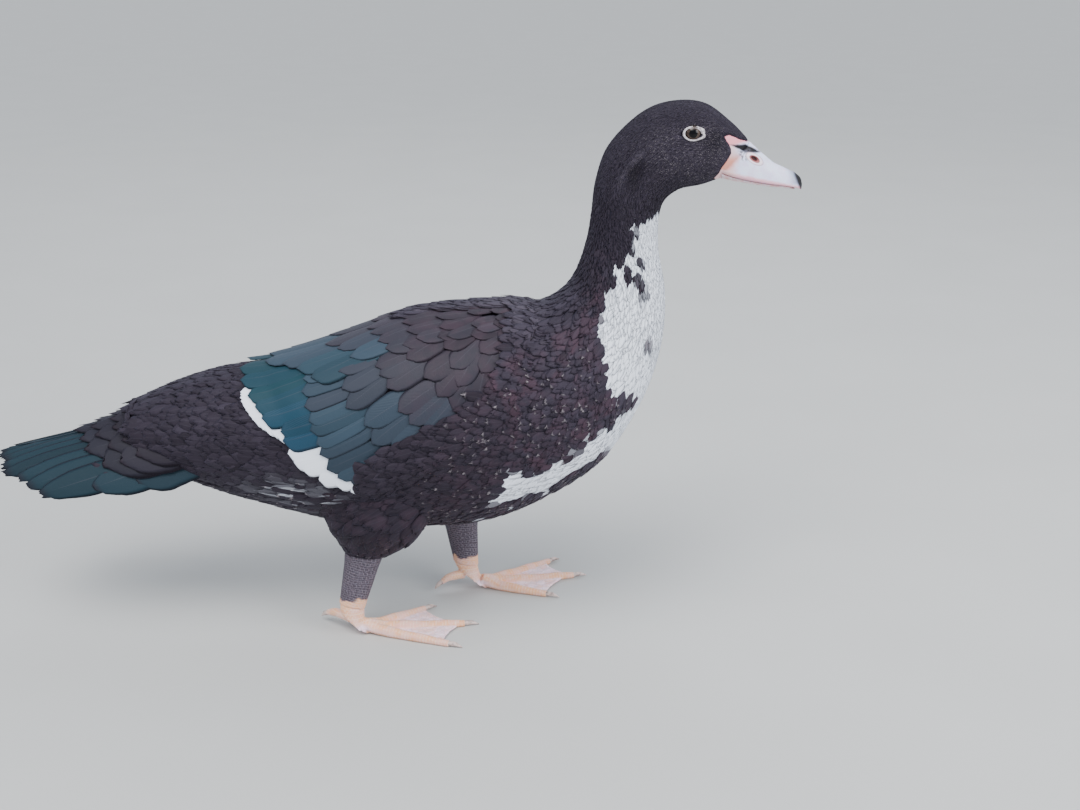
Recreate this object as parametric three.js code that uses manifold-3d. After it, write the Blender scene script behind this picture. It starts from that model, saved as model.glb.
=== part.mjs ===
// A life-size muscovy duck, standing mid-step with its head up, as a still museum model.
// Millimetres, +Z up, +X towards the bill, +Y to the bird's left. The floor is z = 0.
import * as THREE from "three";
import { mergeVertices } from "three/addons/utils/BufferGeometryUtils.js";
import Module from "manifold-3d";

const wasm = await Module();
wasm.setup();

// Driving dimensions
const gap = 0.3; // clear space between neighbouring pieces
const centreShift = [-35.6, 7.9]; // moves the middle of the bounding box over the origin
const vaneThick = 0.8; // feather vanes
const roundness = 2.15; // body sections are ellipses, filled out a little

// The body is lofted through sections that fan from the tail root, through the
// trunk and up the neck to the face. Each is given by its highest and lowest
// point in the middle plane, and by half its width.
const sections = [
  { at: "tailRoot", top: [-276, 212], low: [-251, 154], half: 37 },
  { at: "rump", top: [-238, 228], low: [-224, 142], half: 48 },
  { at: "rearBack", top: [-192, 242], low: [-188, 129], half: 60 },
  { at: "vent", top: [-134, 252], low: [-126, 111], half: 70 },
  { at: "hip", top: [-78, 269], low: [-76, 100], half: 80 },
  { at: "middle", top: [-20, 290], low: [-20, 97], half: 86 },
  { at: "shoulder", top: [36, 298], low: [44, 101], half: 86 },
  { at: "foreBack", top: [80, 301], low: [98, 121], half: 80 },
  { at: "breastLow", top: [106, 308], low: [155, 159], half: 71 },
  { at: "breast", top: [122, 321], low: [190, 213], half: 58 },
  { at: "neckRoot", top: [132, 339], low: [206.5, 263], half: 45 },
  { at: "neckLow", top: [139, 363], low: [209.5, 311], half: 33 },
  { at: "neck", top: [142.5, 385], low: [202, 355], half: 27 },
  { at: "throat", top: [146, 413.5], low: [203, 390], half: 25.5 },
  { at: "nape", top: [156.5, 442.5], low: [216, 404.5], half: 25.5 },
  { at: "crownRear", top: [182, 468.5], low: [235, 409], half: 26 },
  { at: "crown", top: [207, 479], low: [244, 411.7], half: 25.5 },
  { at: "brow", top: [236, 478], low: [249.5, 413], half: 23 },
  { at: "forehead", top: [260, 461.8], low: [252, 413.7], half: 18.5 },
  { at: "face", top: [276.5, 445.6], low: [253, 414.2], half: 13 },
];

const v3 = (x, y, z) => new THREE.Vector3(x, y, z);
const uniformCurve = (points) =>
  new THREE.CatmullRomCurve3(points, false, "catmullrom", 0.5);
const topLine = uniformCurve(sections.map((s) => v3(s.top[0], s.half, s.top[1])));
const lowLine = uniformCurve(sections.map((s) => v3(s.low[0], s.half, s.low[1])));
const spot = (name) =>
  sections.findIndex((s) => s.at === name) / (sections.length - 1);

// A point of the body's surface: t runs from the tail root to the face, angle
// from the middle of the back round the bird's left side, and lift is the
// distance outside the skin.
const squash = (c) => Math.sign(c) * Math.abs(c) ** (2 / roundness);
function bodyPoint(t, angle, lift = 0, reach = 1) {
  const top = topLine.getPoint(t);
  const low = lowLine.getPoint(t);
  const half = top.y;
  top.y = 0;
  low.y = 0;
  const middle = top.clone().add(low).multiplyScalar(0.5);
  const up = top.clone().sub(low);
  const tall = up.length() / 2;
  up.normalize();
  return middle
    .addScaledVector(up, squash(Math.cos(angle)) * (tall + lift) * reach)
    .add(v3(0, squash(Math.sin(angle)) * (half + lift) * reach, 0));
}

// Millimetres of skin for one step of t and for one radian of angle.
function skinScale(t, angle) {
  const d = 0.002;
  const along = bodyPoint(t + d, angle).distanceTo(bodyPoint(t - d, angle));
  const round = bodyPoint(t, angle + d).distanceTo(bodyPoint(t, angle - d));
  return [along / (2 * d), round / (2 * d)];
}

const neckCut = spot("neckRoot");
const headCut = spot("throat");
const degree = Math.PI / 180;

// Solids: a geometry becomes a manifold, and pieces are joined and cut. A piece
// that was mirrored comes in inside out, and its triangles are turned.
function solid(geometry) {
  const bare = geometry.clone();
  for (const name of Object.keys(bare.attributes))
    if (name !== "position") bare.deleteAttribute(name);
  const merged = mergeVertices(bare, 1e-4);
  const vertProperties = merged.attributes.position.array;
  const triVerts = new Uint32Array(merged.index.array);
  const made = new wasm.Manifold(new wasm.Mesh({ numProp: 3, vertProperties, triVerts }));
  if (made.volume() > 0) return made;
  return new wasm.Manifold(
    new wasm.Mesh({ numProp: 3, vertProperties, triVerts: triVerts.reverse() }),
  );
}
const join = (list) => wasm.Manifold.union(list);
const largest = (s) =>
  s.decompose().reduce((a, b) => (b.volume() > a.volume() ? b : a));

// A tube with closed ends: place(along, angle, reach) gives each vertex, with
// reach 0 at the middle of an end.
function tube(place, around, rows) {
  const g = new THREE.CylinderGeometry(1, 1, 1, around, rows);
  const p = g.attributes.position;
  for (let i = 0; i < p.count; i += 1) {
    const reach = Math.hypot(p.getX(i), p.getZ(i)) > 0.5 ? 1 : 0;
    const angle = Math.atan2(p.getX(i), p.getZ(i));
    const q = place(0.5 - p.getY(i), angle, reach);
    p.setXYZ(i, q.x, q.y, q.z);
  }
  return solid(g);
}
const bodyLength = (from, to, lift, around, rows) =>
  tube((a, angle, reach) => {
    const past = a < 0.001 ? lift : 0;
    const p = bodyPoint(from + (to - from) * a, angle, lift, reach);
    return p.add(v3(-0.88 * past, 0, -0.47 * past));
  }, around, rows);

// A limb lofted through stations in a plane of constant y, each with a centre,
// half its length fore and aft, half its width, and the angle by which its
// section leans up towards the front.
function limb(stations, around, rows) {
  const centres = uniformCurve(stations.map((s) => v3(...s.at)));
  const sizes = uniformCurve(stations.map((s) => v3(s.fore, s.wide, s.lean)));
  return tube((a, angle, reach) => {
    const size = sizes.getPoint(a);
    const fore = Math.cos(angle) * size.x * reach;
    const out = Math.sin(angle) * size.y * reach;
    return centres
      .getPoint(a)
      .add(v3(fore * Math.cos(size.z), out, fore * Math.sin(size.z)));
  }, around, rows);
}
// The same station moved along its own axis, down the limb.
function moved(station, by) {
  const [x, y, z] = station.at;
  const down = [Math.sin(station.lean), 0, -Math.cos(station.lean)];
  return { ...station, at: [x + down[0] * by, y, z + down[2] * by] };
}

// A rod along a curve, with half widths sideways and upwards at each point.
function rod(points, halves, around, rows) {
  const line = uniformCurve(points.map((q) => v3(...q)));
  const sizes = uniformCurve(halves.map(([w, h]) => v3(w, h, 0)));
  return tube((a, angle, reach) => {
    const ahead = line.getTangent(a);
    const side = v3(0, 0, 1).cross(ahead).normalize();
    const up = ahead.clone().cross(side);
    const size = sizes.getPoint(a);
    return line
      .getPoint(a)
      .addScaledVector(up, Math.cos(angle) * size.y * reach)
      .addScaledVector(side, Math.sin(angle) * size.x * reach);
  }, around, rows);
}

// A slab over a grid: place(u, v, face) gives each vertex, with face 1 on the
// outer side and 0 on the inner one. Both sides are split into triangles alike.
function slab(place, across, along) {
  const plane = new THREE.PlaneGeometry(1, 1, across, along);
  const p = plane.attributes.position;
  const points = [];
  for (const face of [1, 0])
    for (let i = 0; i < p.count; i += 1)
      points.push(...place(p.getX(i) + 0.5, 0.5 - p.getY(i), face));
  const outer = [...plane.index.array];
  const inner = outer.map((i) => i + p.count).reverse();
  const rim = [];
  for (let i = 0; i < across; i += 1) rim.push(i);
  for (let j = 0; j < along; j += 1) rim.push(j * (across + 1) + across);
  for (let i = across; i > 0; i -= 1) rim.push(along * (across + 1) + i);
  for (let j = along; j > 0; j -= 1) rim.push(j * (across + 1));
  const wall = rim.flatMap((a, k) => {
    const b = rim[(k + 1) % rim.length];
    return [a, b, a + p.count, b, b + p.count, a + p.count];
  });
  const g = new THREE.BufferGeometry();
  g.setAttribute("position", new THREE.Float32BufferAttribute(points, 3));
  g.setIndex([...outer, ...inner, ...wall]);
  return solid(g);
}

// One feather vane on a sheet, which places (a, b, lift) in space and knows how
// many millimetres one step of a or b is. The vane runs from root to tip, is
// widest past its middle, and its tip is rounded. Its lift goes from the first
// value at the root to the second at the tip, and tilt raises one edge.
const vaneRows = [
  [0, 0.75],
  [0.72, 1],
  [1, 0.5],
];
function vane(sheet, { root, tip, width, lift, tilt }) {
  const [sa, sb] = sheet.scale((root[0] + tip[0]) / 2, (root[1] + tip[1]) / 2);
  const run = [(tip[0] - root[0]) * sa, (tip[1] - root[1]) * sb];
  const long = Math.hypot(...run);
  const sideways = [-run[1] / long / sa, run[0] / long / sb];
  const place = (u, v, face) => {
    const [s, w] = vaneRows[Math.round(v * (vaneRows.length - 1))];
    const edge = 2 * u - 1;
    const out = (edge * w * width) / 2;
    const rise = lift[0] + (lift[1] - lift[0]) * s + tilt * edge * w;
    return sheet.place(
      root[0] + (tip[0] - root[0]) * s + sideways[0] * out,
      root[1] + (tip[1] - root[1]) * s + sideways[1] * out,
      rise - (face ? 0 : vaneThick),
    );
  };
  return slab(place, 1, vaneRows.length - 1);
}

// A tier of vanes: roots and tips run along two curves on the sheet, and a
// seeded draw varies their length and place a little.
let seed = 7;
function draw(spread) {
  seed = (seed * 16807) % 2147483647;
  return (seed / 2147483647 - 0.5) * 2 * spread;
}
function tier(sheet, { count, roots, tips, ...shape }) {
  const onPlane = (list) => uniformCurve(list.map(([a, b]) => v3(a, b, 0)));
  const rootLine = onPlane(roots);
  const tipLine = onPlane(tips);
  return Array.from({ length: count }, (_, i) => {
    const along = count > 1 ? i / (count - 1) : 0.5;
    const root = rootLine.getPoint(along);
    const tip = tipLine.getPoint(along).lerp(root, draw(0.05));
    return vane(sheet, { root: [root.x, root.y], tip: [tip.x, tip.y], ...shape });
  });
}

// Wing
const smooth = THREE.MathUtils.smoothstep;
const wingThick = 5.6; // folded wing over the skin
const wingEdge = 1.7; // the same at its edges
const wingTop = 1.6; // inner edge by the middle of the back, degrees
const wingTail = 0.15; // where the solid wing starts, beyond which vanes run free
const wingFront = 0.381;
const lowEdge = uniformCurve([
  v3(0.15, 22), v3(0.168, 58), v3(0.19, 80), v3(0.215, 93), v3(0.245, 95), v3(0.268, 86),
  v3(0.296, 80), v3(0.325, 71), v3(0.352, 62), v3(0.371, 47), v3(0.381, 22),
]);
const lowEdgeSamples = lowEdge.getPoints(80);
function lowestAngle(t) {
  const next = lowEdgeSamples.findIndex((p) => p.x >= t);
  if (next <= 0) return lowEdgeSamples[next < 0 ? lowEdgeSamples.length - 1 : 0].y;
  const [a, b] = [lowEdgeSamples[next - 1], lowEdgeSamples[next]];
  return a.y + ((b.y - a.y) * (t - a.x)) / (b.x - a.x);
}
// Height of the wing's own body over the skin, t and degrees in.
function wingLift(t, angle) {
  const front = smooth(wingFront - t, 0, 0.03);
  const rear = 0.45 + 0.55 * smooth(t, 0.125, 0.22);
  const low = 0.35 + 0.65 * smooth(lowestAngle(t) - angle, -6, 20);
  return wingEdge + (wingThick - wingEdge) * front * rear * low;
}
function wingSheet(side) {
  return {
    place: (t, angle, lift) => bodyPoint(t, side * angle * degree, wingLift(t, angle) + lift),
    scale: (t, angle) => {
      const [along, round] = skinScale(t, side * angle * degree);
      return [along, round * degree];
    },
  };
}
const tiers = [
  // white outer secondaries, then the glossy inner ones
  { count: 4, width: 17, lift: [-2.2, 0.2], tilt: 0.8,
    roots: [[0.212, 76], [0.222, 86], [0.238, 96]], tips: [[0.172, 86], [0.196, 98], [0.223, 107]] },
  { count: 7, width: 24, lift: [-2.2, 1], tilt: 1,
    roots: [[0.2, 19], [0.202, 38], [0.207, 57], [0.212, 76]],
    tips: [[0.125, 13], [0.136, 41], [0.151, 62], [0.17, 84]] },
  // greater, median and lesser coverts
  { count: 8, width: 21, lift: [-1.6, 2.2], tilt: 1,
    roots: [[0.228, 32], [0.235, 50], [0.247, 68], [0.26, 80], [0.275, 90]],
    tips: [[0.184, 35], [0.188, 56], [0.193, 75], [0.204, 92], [0.22, 102]] },
  { count: 6, width: 24, lift: [-1.6, 2.2], tilt: 1,
    roots: [[0.26, 44], [0.268, 60], [0.28, 74], [0.298, 84]],
    tips: [[0.214, 48], [0.226, 66], [0.24, 82], [0.26, 94]] },
  { count: 4, width: 29, lift: [-1.6, 2.2], tilt: 1,
    roots: [[0.298, 46], [0.303, 58], [0.315, 70], [0.33, 77]],
    tips: [[0.246, 50], [0.254, 65], [0.268, 77], [0.288, 85]] },
  { count: 3, width: 31, lift: [-1.6, 2.2], tilt: 1,
    roots: [[0.33, 38], [0.338, 52], [0.35, 64]],
    tips: [[0.284, 48], [0.295, 62], [0.315, 75]] },
  { count: 3, width: 28, lift: [-1.6, 2], tilt: 1,
    roots: [[0.366, 24], [0.368, 38], [0.366, 50]],
    tips: [[0.318, 34], [0.326, 50], [0.34, 65]] },
  // scapulars and tertials over the back
  { count: 3, width: 30, lift: [-1.6, 2.8], tilt: 1.1,
    roots: [[0.23, 13], [0.24, 25], [0.25, 38]], tips: [[0.15, 12], [0.168, 22], [0.186, 34]] },
  { count: 3, width: 29, lift: [-1.6, 2.6], tilt: 1.1,
    roots: [[0.29, 13], [0.295, 26], [0.3, 40]], tips: [[0.21, 12], [0.22, 26], [0.235, 42]] },
  { count: 2, width: 34, lift: [-1.6, 2.2], tilt: 1.1,
    roots: [[0.35, 12], [0.352, 24], [0.35, 34]], tips: [[0.275, 12], [0.28, 26], [0.29, 40]] },
];
function wing(side, torsoRoom) {
  const sheet = wingSheet(side);
  const core = slab((u, v, face) => {
    const t = wingTail + (wingFront - wingTail) * v;
    const angle = wingTop + (lowestAngle(t) - wingTop) * u;
    return bodyPoint(t, side * angle * degree, face ? wingLift(t, angle) : -2);
  }, 6, 8);
  const vanes = tiers.flatMap((t) => tier(sheet, t));
  return join([core, ...vanes]).subtract(torsoRoom);
}

// Tail: a shallow arch, flatter towards the tips. Across runs from -1 at the
// right edge to 1 at the left, and along from the roots to the longest tip.
const tailSheet = {
  place: (across, along, lift) => {
    const bow = across * across;
    const root = v3(-230 + 26 * bow, 42 * across, 206 - 33 * bow);
    const tip = v3(-397 + 40 * bow, 58 * across, 163 - 30 * bow);
    return root.lerp(tip, along).add(v3(-0.2, 0.45 * across, 1).normalize().multiplyScalar(lift));
  },
  scale: () => [46, 168],
};
const tailTiers = [
  { count: 13, width: 23, lift: [0.3, 0.3], tilt: 1.7, reach: 0.97, from: 0, spread: 0.88 },
  { count: 7, width: 26, lift: [1, 3.6], tilt: 1.2, reach: 0.58, from: 0, spread: 0.62 },
  { count: 5, width: 28, lift: [3.5, 6], tilt: 1.2, reach: 0.34, from: -0.1, spread: 0.62 },
];
function tail(torsoRoom) {
  const pieces = tailTiers.flatMap(({ count, spread, reach, from, tilt, ...shape }) =>
    Array.from({ length: count }, (_, i) => {
      const across = spread * ((2 * i) / (count - 1) - 1);
      const outer = Math.abs(across) > 0.85 ? 0.6 : 1;
      return vane(tailSheet, {
        root: [across * 0.9, from],
        tip: [across, (reach - 0.08 * across * across + draw(0.02)) * outer],
        tilt: -Math.sign(across) * tilt,
        ...shape,
      });
    }),
  );
  const core = limb(
    [
      { at: [-257.5, 0, 185.5], fore: 32, wide: 38, lean: 1.98 },
      { at: [-292, 0, 176], fore: 19, wide: 43, lean: 1.9 },
      { at: [-326, 0, 170], fore: 9, wide: 42, lean: 1.8 },
      { at: [-358, 0, 167], fore: 2.6, wide: 38, lean: 1.75 },
    ],
    16,
    6,
  );
  return join([core, ...pieces]).subtract(torsoRoom);
}

// Bill: a row of stations from the face to the tip, each with the middle line's
// highest and lowest point and half the width. The upper half is arched, and
// the mouth line is the narrow gap between both halves.
const upperBill = [
  { top: [276.2, 445.2], low: [251.6, 421.4], half: 14.2 },
  { top: [282.4, 438.9], low: [262, 417.6], half: 14 },
  { top: [289.4, 433], low: [275, 414.6], half: 13.8 },
  { top: [297.6, 427.7], low: [290, 412], half: 13.4 },
  { top: [306.4, 423.6], low: [302, 410.4], half: 12.6 },
  { top: [314.8, 419.4], low: [312, 408.8], half: 10.2 },
  { top: [320.6, 414.8], low: [319, 406.6], half: 5.6 },
  { top: [322.6, 410], low: [322, 405.2], half: 2 },
];
const lowerBill = [
  { top: [251.3, 420.8], low: [253.4, 414.4], half: 13.2 },
  { top: [262, 417], low: [265.3, 412.2], half: 13.2 },
  { top: [275, 414], low: [278.3, 410.2], half: 12.8 },
  { top: [290, 411.4], low: [291.3, 408.2], half: 12.2 },
  { top: [302, 409.8], low: [304.2, 406.9], half: 11 },
  { top: [311, 408.2], low: [312, 405.8], half: 8.2 },
  { top: [316, 406.8], low: [316, 405], half: 4 },
];
// One half of the bill: round is the half that arches, 1 above and -1 below.
function billHalf(stations, round, rows) {
  const tops = uniformCurve(stations.map((s) => v3(s.top[0], s.half, s.top[1])));
  const lows = uniformCurve(stations.map((s) => v3(s.low[0], s.half, s.low[1])));
  return tube((a, angle, reach) => {
    const top = tops.getPoint(a);
    const low = lows.getPoint(a);
    const half = top.y;
    const [arch, flat] = round > 0 ? [top, low] : [low, top];
    const height = Math.max(0, round * Math.cos(angle)) ** 0.8 * reach;
    const p = flat.clone().lerp(arch, height);
    p.y = Math.sin(angle) * half * reach;
    return p;
  }, 16, rows);
}
const nostril = { at: [279.3, 432.4], out: 9.6, long: 4.2, tall: 2.6, deep: 2.4 };
function ring(at, out, side, long, tall, thick) {
  const g = new THREE.TorusGeometry(1, 0.26, 4, 12);
  g.rotateX(Math.PI / 2);
  g.scale(long, thick / 0.26, tall);
  g.translate(at[0], side * out, at[1]);
  return solid(g);
}
function bead(at, out, side, long, deep, tall) {
  const g = new THREE.SphereGeometry(1, 12, 7);
  g.scale(long, deep, tall);
  g.translate(at[0], side * out, at[1]);
  return solid(g);
}
function upperMandible(headRoom) {
  let made = billHalf(upperBill, 1, 10);
  for (const side of [-1, 1]) {
    const { at, out, long, tall, deep } = nostril;
    made = made.add(ring(at, out, side, long + 1, tall + 0.9, 1.1));
    made = made.subtract(bead(at, out + 1, side, long, deep, tall));
  }
  return made.subtract(headRoom);
}

// Eyes, each a ball in its socket with a raised lid round it
const eye = { at: [225.4, 455.5], out: 18.8, radius: 7.4 };
const lid = { out: 24.3, long: 6.7, tall: 5.6, thick: 1.2 };
const ball = (side, room) =>
  bead(eye.at, eye.out, side, eye.radius + room, eye.radius + room, eye.radius + room);
function skull() {
  let made = bodyLength(headCut + 0.0005, 1, 0, 26, 15);
  for (const side of [-1, 1]) {
    made = made.add(ring(eye.at, lid.out, side, lid.long, lid.tall, lid.thick));
    made = made.subtract(ball(side, gap));
  }
  return made;
}

// Legs. Each leg is given by its hock and ankle stations, the point on the floor
// under its toe roots, and the way its foot points.
const legs = {
  right: {
    side: -1,
    hip: { at: [-34, -50, 152], fore: 48, wide: 28, lean: 0 },
    thigh: { at: [-46, -52, 116], fore: 45, wide: 24, lean: 0 },
    knee: { at: [-51, -49, 96], fore: 33, wide: 17, lean: -0.06 },
    hock: { at: [-61.5, -45, 80], fore: 16.5, wide: 8.4, lean: -0.12 },
    ankle: { at: [-74.5, -45, 29], fore: 11.6, wide: 7, lean: -0.26 },
    toes: [-64, -45],
    heading: 9,
    hallux: [-101, -28],
  },
  left: {
    side: 1,
    hip: { at: [4, 50, 150], fore: 42, wide: 28, lean: 0 },
    thigh: { at: [8, 52, 116], fore: 36, wide: 24, lean: 0 },
    knee: { at: [15, 49, 94], fore: 26, wide: 16, lean: 0.03 },
    hock: { at: [21, 45, 76], fore: 16.5, wide: 8.4, lean: 0.06 },
    ankle: { at: [25.5, 45, 27], fore: 12, wide: 7, lean: -0.2 },
    toes: [42, 43],
    heading: 11,
    hallux: [2, 33],
  },
};
const toes = [
  { turn: -28, length: 66, joints: 2 },
  { turn: 2, length: 93, joints: 3 },
  { turn: 27, length: 84, joints: 4 },
];
const toeRoot = 6.0;
const toeEnd = 3.6;
const webThick = 2.2;
const clawLength = 13;
function toeLine(leg, toe) {
  const turn = (leg.heading + leg.side * toe.turn) * degree;
  const out = v3(Math.cos(turn), Math.sin(turn), 0);
  const start = v3(leg.toes[0], leg.toes[1], 0);
  return (s, z) => start.clone().addScaledVector(out, s).setZ(z).toArray();
}
function foot(leg) {
  const { side, ankle } = leg;
  const floor = solid(new THREE.BoxGeometry(400, 400, 40).translate(-20, 0, -20));
  const pieces = toes.map((toe) => {
    const at = toeLine(leg, toe);
    const rows = toe.joints + 2;
    const points = [];
    const halves = [];
    for (let i = 0; i <= rows; i += 1) {
      const s = i / rows;
      const size = (toeRoot + (toeEnd - toeRoot) * s) * (i % 2 || i === rows ? 0.94 : 1.06);
      points.push(at(toe.length * s, size * 0.78 + 3.5 * (1 - s) ** 6));
      halves.push([size, size]);
    }
    return rod(points, halves, 7, rows);
  });
  for (const [a, b] of [[toes[0], toes[1]], [toes[1], toes[2]]]) {
    const [la, lb] = [toeLine(leg, a), toeLine(leg, b)];
    const root = la(0, 0);
    const ends = [la(a.length * 0.97, 0), lb(b.length * 0.93, 0)];
    const deep = 0.9;
    const dip = ends[0].map((c, k) => root[k] + ((c + ends[1][k]) / 2 - root[k]) * deep);
    const outline = new THREE.Shape();
    outline.moveTo(root[0], root[1]);
    outline.lineTo(ends[0][0], ends[0][1]);
    outline.quadraticCurveTo(dip[0], dip[1], ends[1][0], ends[1][1]);
    outline.closePath();
    const web = new THREE.ExtrudeGeometry(outline, {
      depth: webThick, bevelEnabled: false, curveSegments: 8,
    });
    pieces.push(solid(web.translate(0, 0, 1.6)));
  }
  const top = moved(ankle, gap);
  const palm = { at: [leg.toes[0] - 4, leg.toes[1], 7], fore: 11, wide: 10.5, lean: -0.7 };
  const heel = { at: [(ankle.at[0] + palm.at[0]) / 2 - 3, ankle.at[1], 16], fore: 12, wide: 8.6, lean: -0.4 };
  pieces.push(limb([top, heel, palm], 12, 4));
  const [hx, hy] = leg.hallux;
  pieces.push(
    rod([[ankle.at[0] - 2, leg.toes[1], 15], [(ankle.at[0] + hx) / 2 - 4, (leg.toes[1] + hy) / 2 - side * 2, 15], [hx, hy, 11]],
      [[4.6, 5], [3.9, 4.2], [2.7, 2.9]], 8, 5),
  );
  return join(pieces).subtract(floor);
}
function claws(leg) {
  const lines = toes.map((toe) => {
    const at = toeLine(leg, toe);
    return [at(toe.length + gap, 2.7), at(toe.length + 6, 2.9), at(toe.length + clawLength, 1.1)];
  });
  const [hx, hy] = leg.hallux;
  const back = v3(hx - (leg.ankle.at[0] + hx) / 2 + 4, hy - (leg.toes[1] + hy) / 2 + leg.side * 2, -4).normalize();
  const away = (d, drop) => v3(hx, hy, 11 - drop).addScaledVector(back, d).toArray();
  lines.push([away(gap, 0), away(4, 0.6), away(8, 3)]);
  return lines.map((line) => rod(line, [[2.2, 2.3], [1.8, 2], [0.5, 0.6]], 7, 3));
}

const group = new THREE.Group();
function addNode(name, made, colour, roughness) {
  const kept = largest(made);
  const mesh = kept.getMesh();
  const g = new THREE.BufferGeometry();
  g.setAttribute("position", new THREE.BufferAttribute(mesh.vertProperties, 3));
  g.setIndex(new THREE.BufferAttribute(mesh.triVerts, 1));
  const node = new THREE.Mesh(
    g,
    new THREE.MeshStandardMaterial({ color: colour, roughness, metalness: 0 }),
  );
  node.name = name;
  group.add(node);
}

const torso = bodyLength(0, neckCut, 0, 28, 22);
const torsoRoom = bodyLength(0, neckCut, gap, 28, 22);
const headRoom = bodyLength(headCut, 1, gap, 26, 15);
addNode("torso", torso, 0x2b2530, 0.8);
addNode("neck", bodyLength(neckCut + 0.0005, headCut, 0, 26, 7), 0x2b2530, 0.8);
addNode("head", skull(), 0x242028, 0.7);
addNode("bill_upper", upperMandible(headRoom), 0xd9c9d2, 0.45);
addNode("bill_lower", billHalf(lowerBill, -1, 8).subtract(headRoom), 0xdcb4ae, 0.45);
addNode("tail", tail(torsoRoom), 0x24343a, 0.5);
for (const [name, leg] of Object.entries(legs)) {
  const { side } = leg;
  addNode(`eye_${name}`, ball(side, 0), 0x15110f, 0.1);
  addNode(`wing_${name}`, wing(side, torsoRoom), 0x2f4650, 0.5);
  const thigh = limb([leg.hip, leg.thigh, leg.knee, moved(leg.hock, -gap)], 16, 6);
  addNode(`thigh_${name}`, thigh.subtract(torsoRoom), 0x2b2530, 0.8);
  addNode(`shank_${name}`, limb([leg.hock, leg.ankle], 14, 2), 0x5a5058, 0.6);
  addNode(`foot_${name}`, foot(leg), 0xe2c3b8, 0.5);
  claws(leg).forEach((claw, i) => addNode(`claw_${name}_${i + 1}`, claw, 0xd8c8c0, 0.4));
}

group.position.set(-centreShift[0], -centreShift[1], 0);
export default group;
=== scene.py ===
# A life-size muscovy duck as a still museum model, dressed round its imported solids.
# Blender works in metres. The bird is drawn in millimetres in its own frame, with
# +X towards the bill, +Y to its left and the floor at z = 0, and `metres` brings
# those places into the shared frame.
import math

import bpy
import numpy as np
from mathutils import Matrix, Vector
from mathutils.bvhtree import BVHTree
from mathutils.kdtree import KDTree


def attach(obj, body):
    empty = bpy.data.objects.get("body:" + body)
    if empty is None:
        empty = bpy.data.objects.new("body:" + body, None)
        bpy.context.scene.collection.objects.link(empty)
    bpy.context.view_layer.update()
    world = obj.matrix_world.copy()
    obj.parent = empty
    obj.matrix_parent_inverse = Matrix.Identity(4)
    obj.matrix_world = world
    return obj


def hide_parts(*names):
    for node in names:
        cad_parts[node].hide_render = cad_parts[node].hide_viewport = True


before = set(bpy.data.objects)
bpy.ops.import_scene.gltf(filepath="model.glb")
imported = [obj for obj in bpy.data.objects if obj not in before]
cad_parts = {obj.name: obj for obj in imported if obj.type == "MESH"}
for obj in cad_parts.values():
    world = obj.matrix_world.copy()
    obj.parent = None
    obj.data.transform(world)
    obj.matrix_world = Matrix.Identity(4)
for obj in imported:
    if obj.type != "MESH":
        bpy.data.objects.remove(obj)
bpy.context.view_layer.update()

bpy.ops.object.select_all(action="DESELECT")

MM = 0.001
CENTRE = np.array([35.6, -7.9, 0.0])  # from the bird's own frame to the shared one
RIGHT, LEFT = -1, 1


def metres(points):
    """Places in the bird's own millimetres, as metres in the shared frame."""
    return (np.asarray(points, float) + CENTRE) * MM


def ramp(value, low, high):
    """A smooth step from 0 at low to 1 at high."""
    x = np.clip((np.asarray(value, float) - low) / (high - low), 0, 1)
    return x * x * (3 - 2 * x)


def read(line, at):
    """A broken line of pairs, read at the first of them."""
    return np.interp(at, *zip(*line))


def curve(points, t):
    """A smooth line through evenly spaced points, read at t from 0 to 1."""
    points = np.asarray(points, float)
    ahead = 2 * points[0] - points[1]
    behind = 2 * points[-1] - points[-2]
    p = np.vstack([ahead, points, behind])
    spans = len(points) - 1
    x = np.asarray(t, float) * spans
    i = np.clip(np.floor(x).astype(int), 0, spans - 1)
    w = (x - i)[..., None]
    a, b, c, d = p[i], p[i + 1], p[i + 2], p[i + 3]
    start, end = (c - a) / 2, (d - b) / 2
    return ((2 * b - 2 * c + start + end) * w - 3 * b + 3 * c - 2 * start - end) * w * w + start * w + b


# Body: the sections fan from the tail root up to the face. Each has its highest and
# lowest point in the middle plane, and half its width.
ROUNDNESS = 2.15
HEAD_START = 0.7  # the t, from 0 at the tail root to 1 at the face, at which the head starts
SECTIONS = [
    # top x, z, low x, z, half width
    (-276, 212, -251, 154, 37), (-238, 228, -224, 142, 48), (-192, 242, -188, 129, 60),
    (-134, 252, -126, 111, 70), (-78, 269, -76, 100, 80), (-20, 290, -20, 97, 86),
    (36, 298, 44, 101, 86), (80, 301, 98, 121, 80), (106, 308, 155, 159, 71),
    (122, 321, 190, 213, 58), (132, 339, 206.5, 263, 45), (139, 363, 209.5, 311, 33),
    (142.5, 385, 202, 355, 27), (146, 413.5, 203, 390, 25.5), (156.5, 442.5, 216, 404.5, 25.5),
    (182, 468.5, 235, 409, 26), (207, 479, 244, 411.7, 25.5), (236, 478, 249.5, 413, 23),
    (260, 461.8, 252, 413.7, 18.5), (276.5, 445.6, 253, 414.2, 13),
]
TOP_LINE = [(tx, half, tz) for tx, tz, lx, lz, half in SECTIONS]
LOW_LINE = [(lx, half, lz) for tx, tz, lx, lz, half in SECTIONS]


def swell(c):
    """A cosine or sine, squared off a little."""
    return np.sign(c) * np.abs(c) ** (2 / ROUNDNESS)


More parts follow.
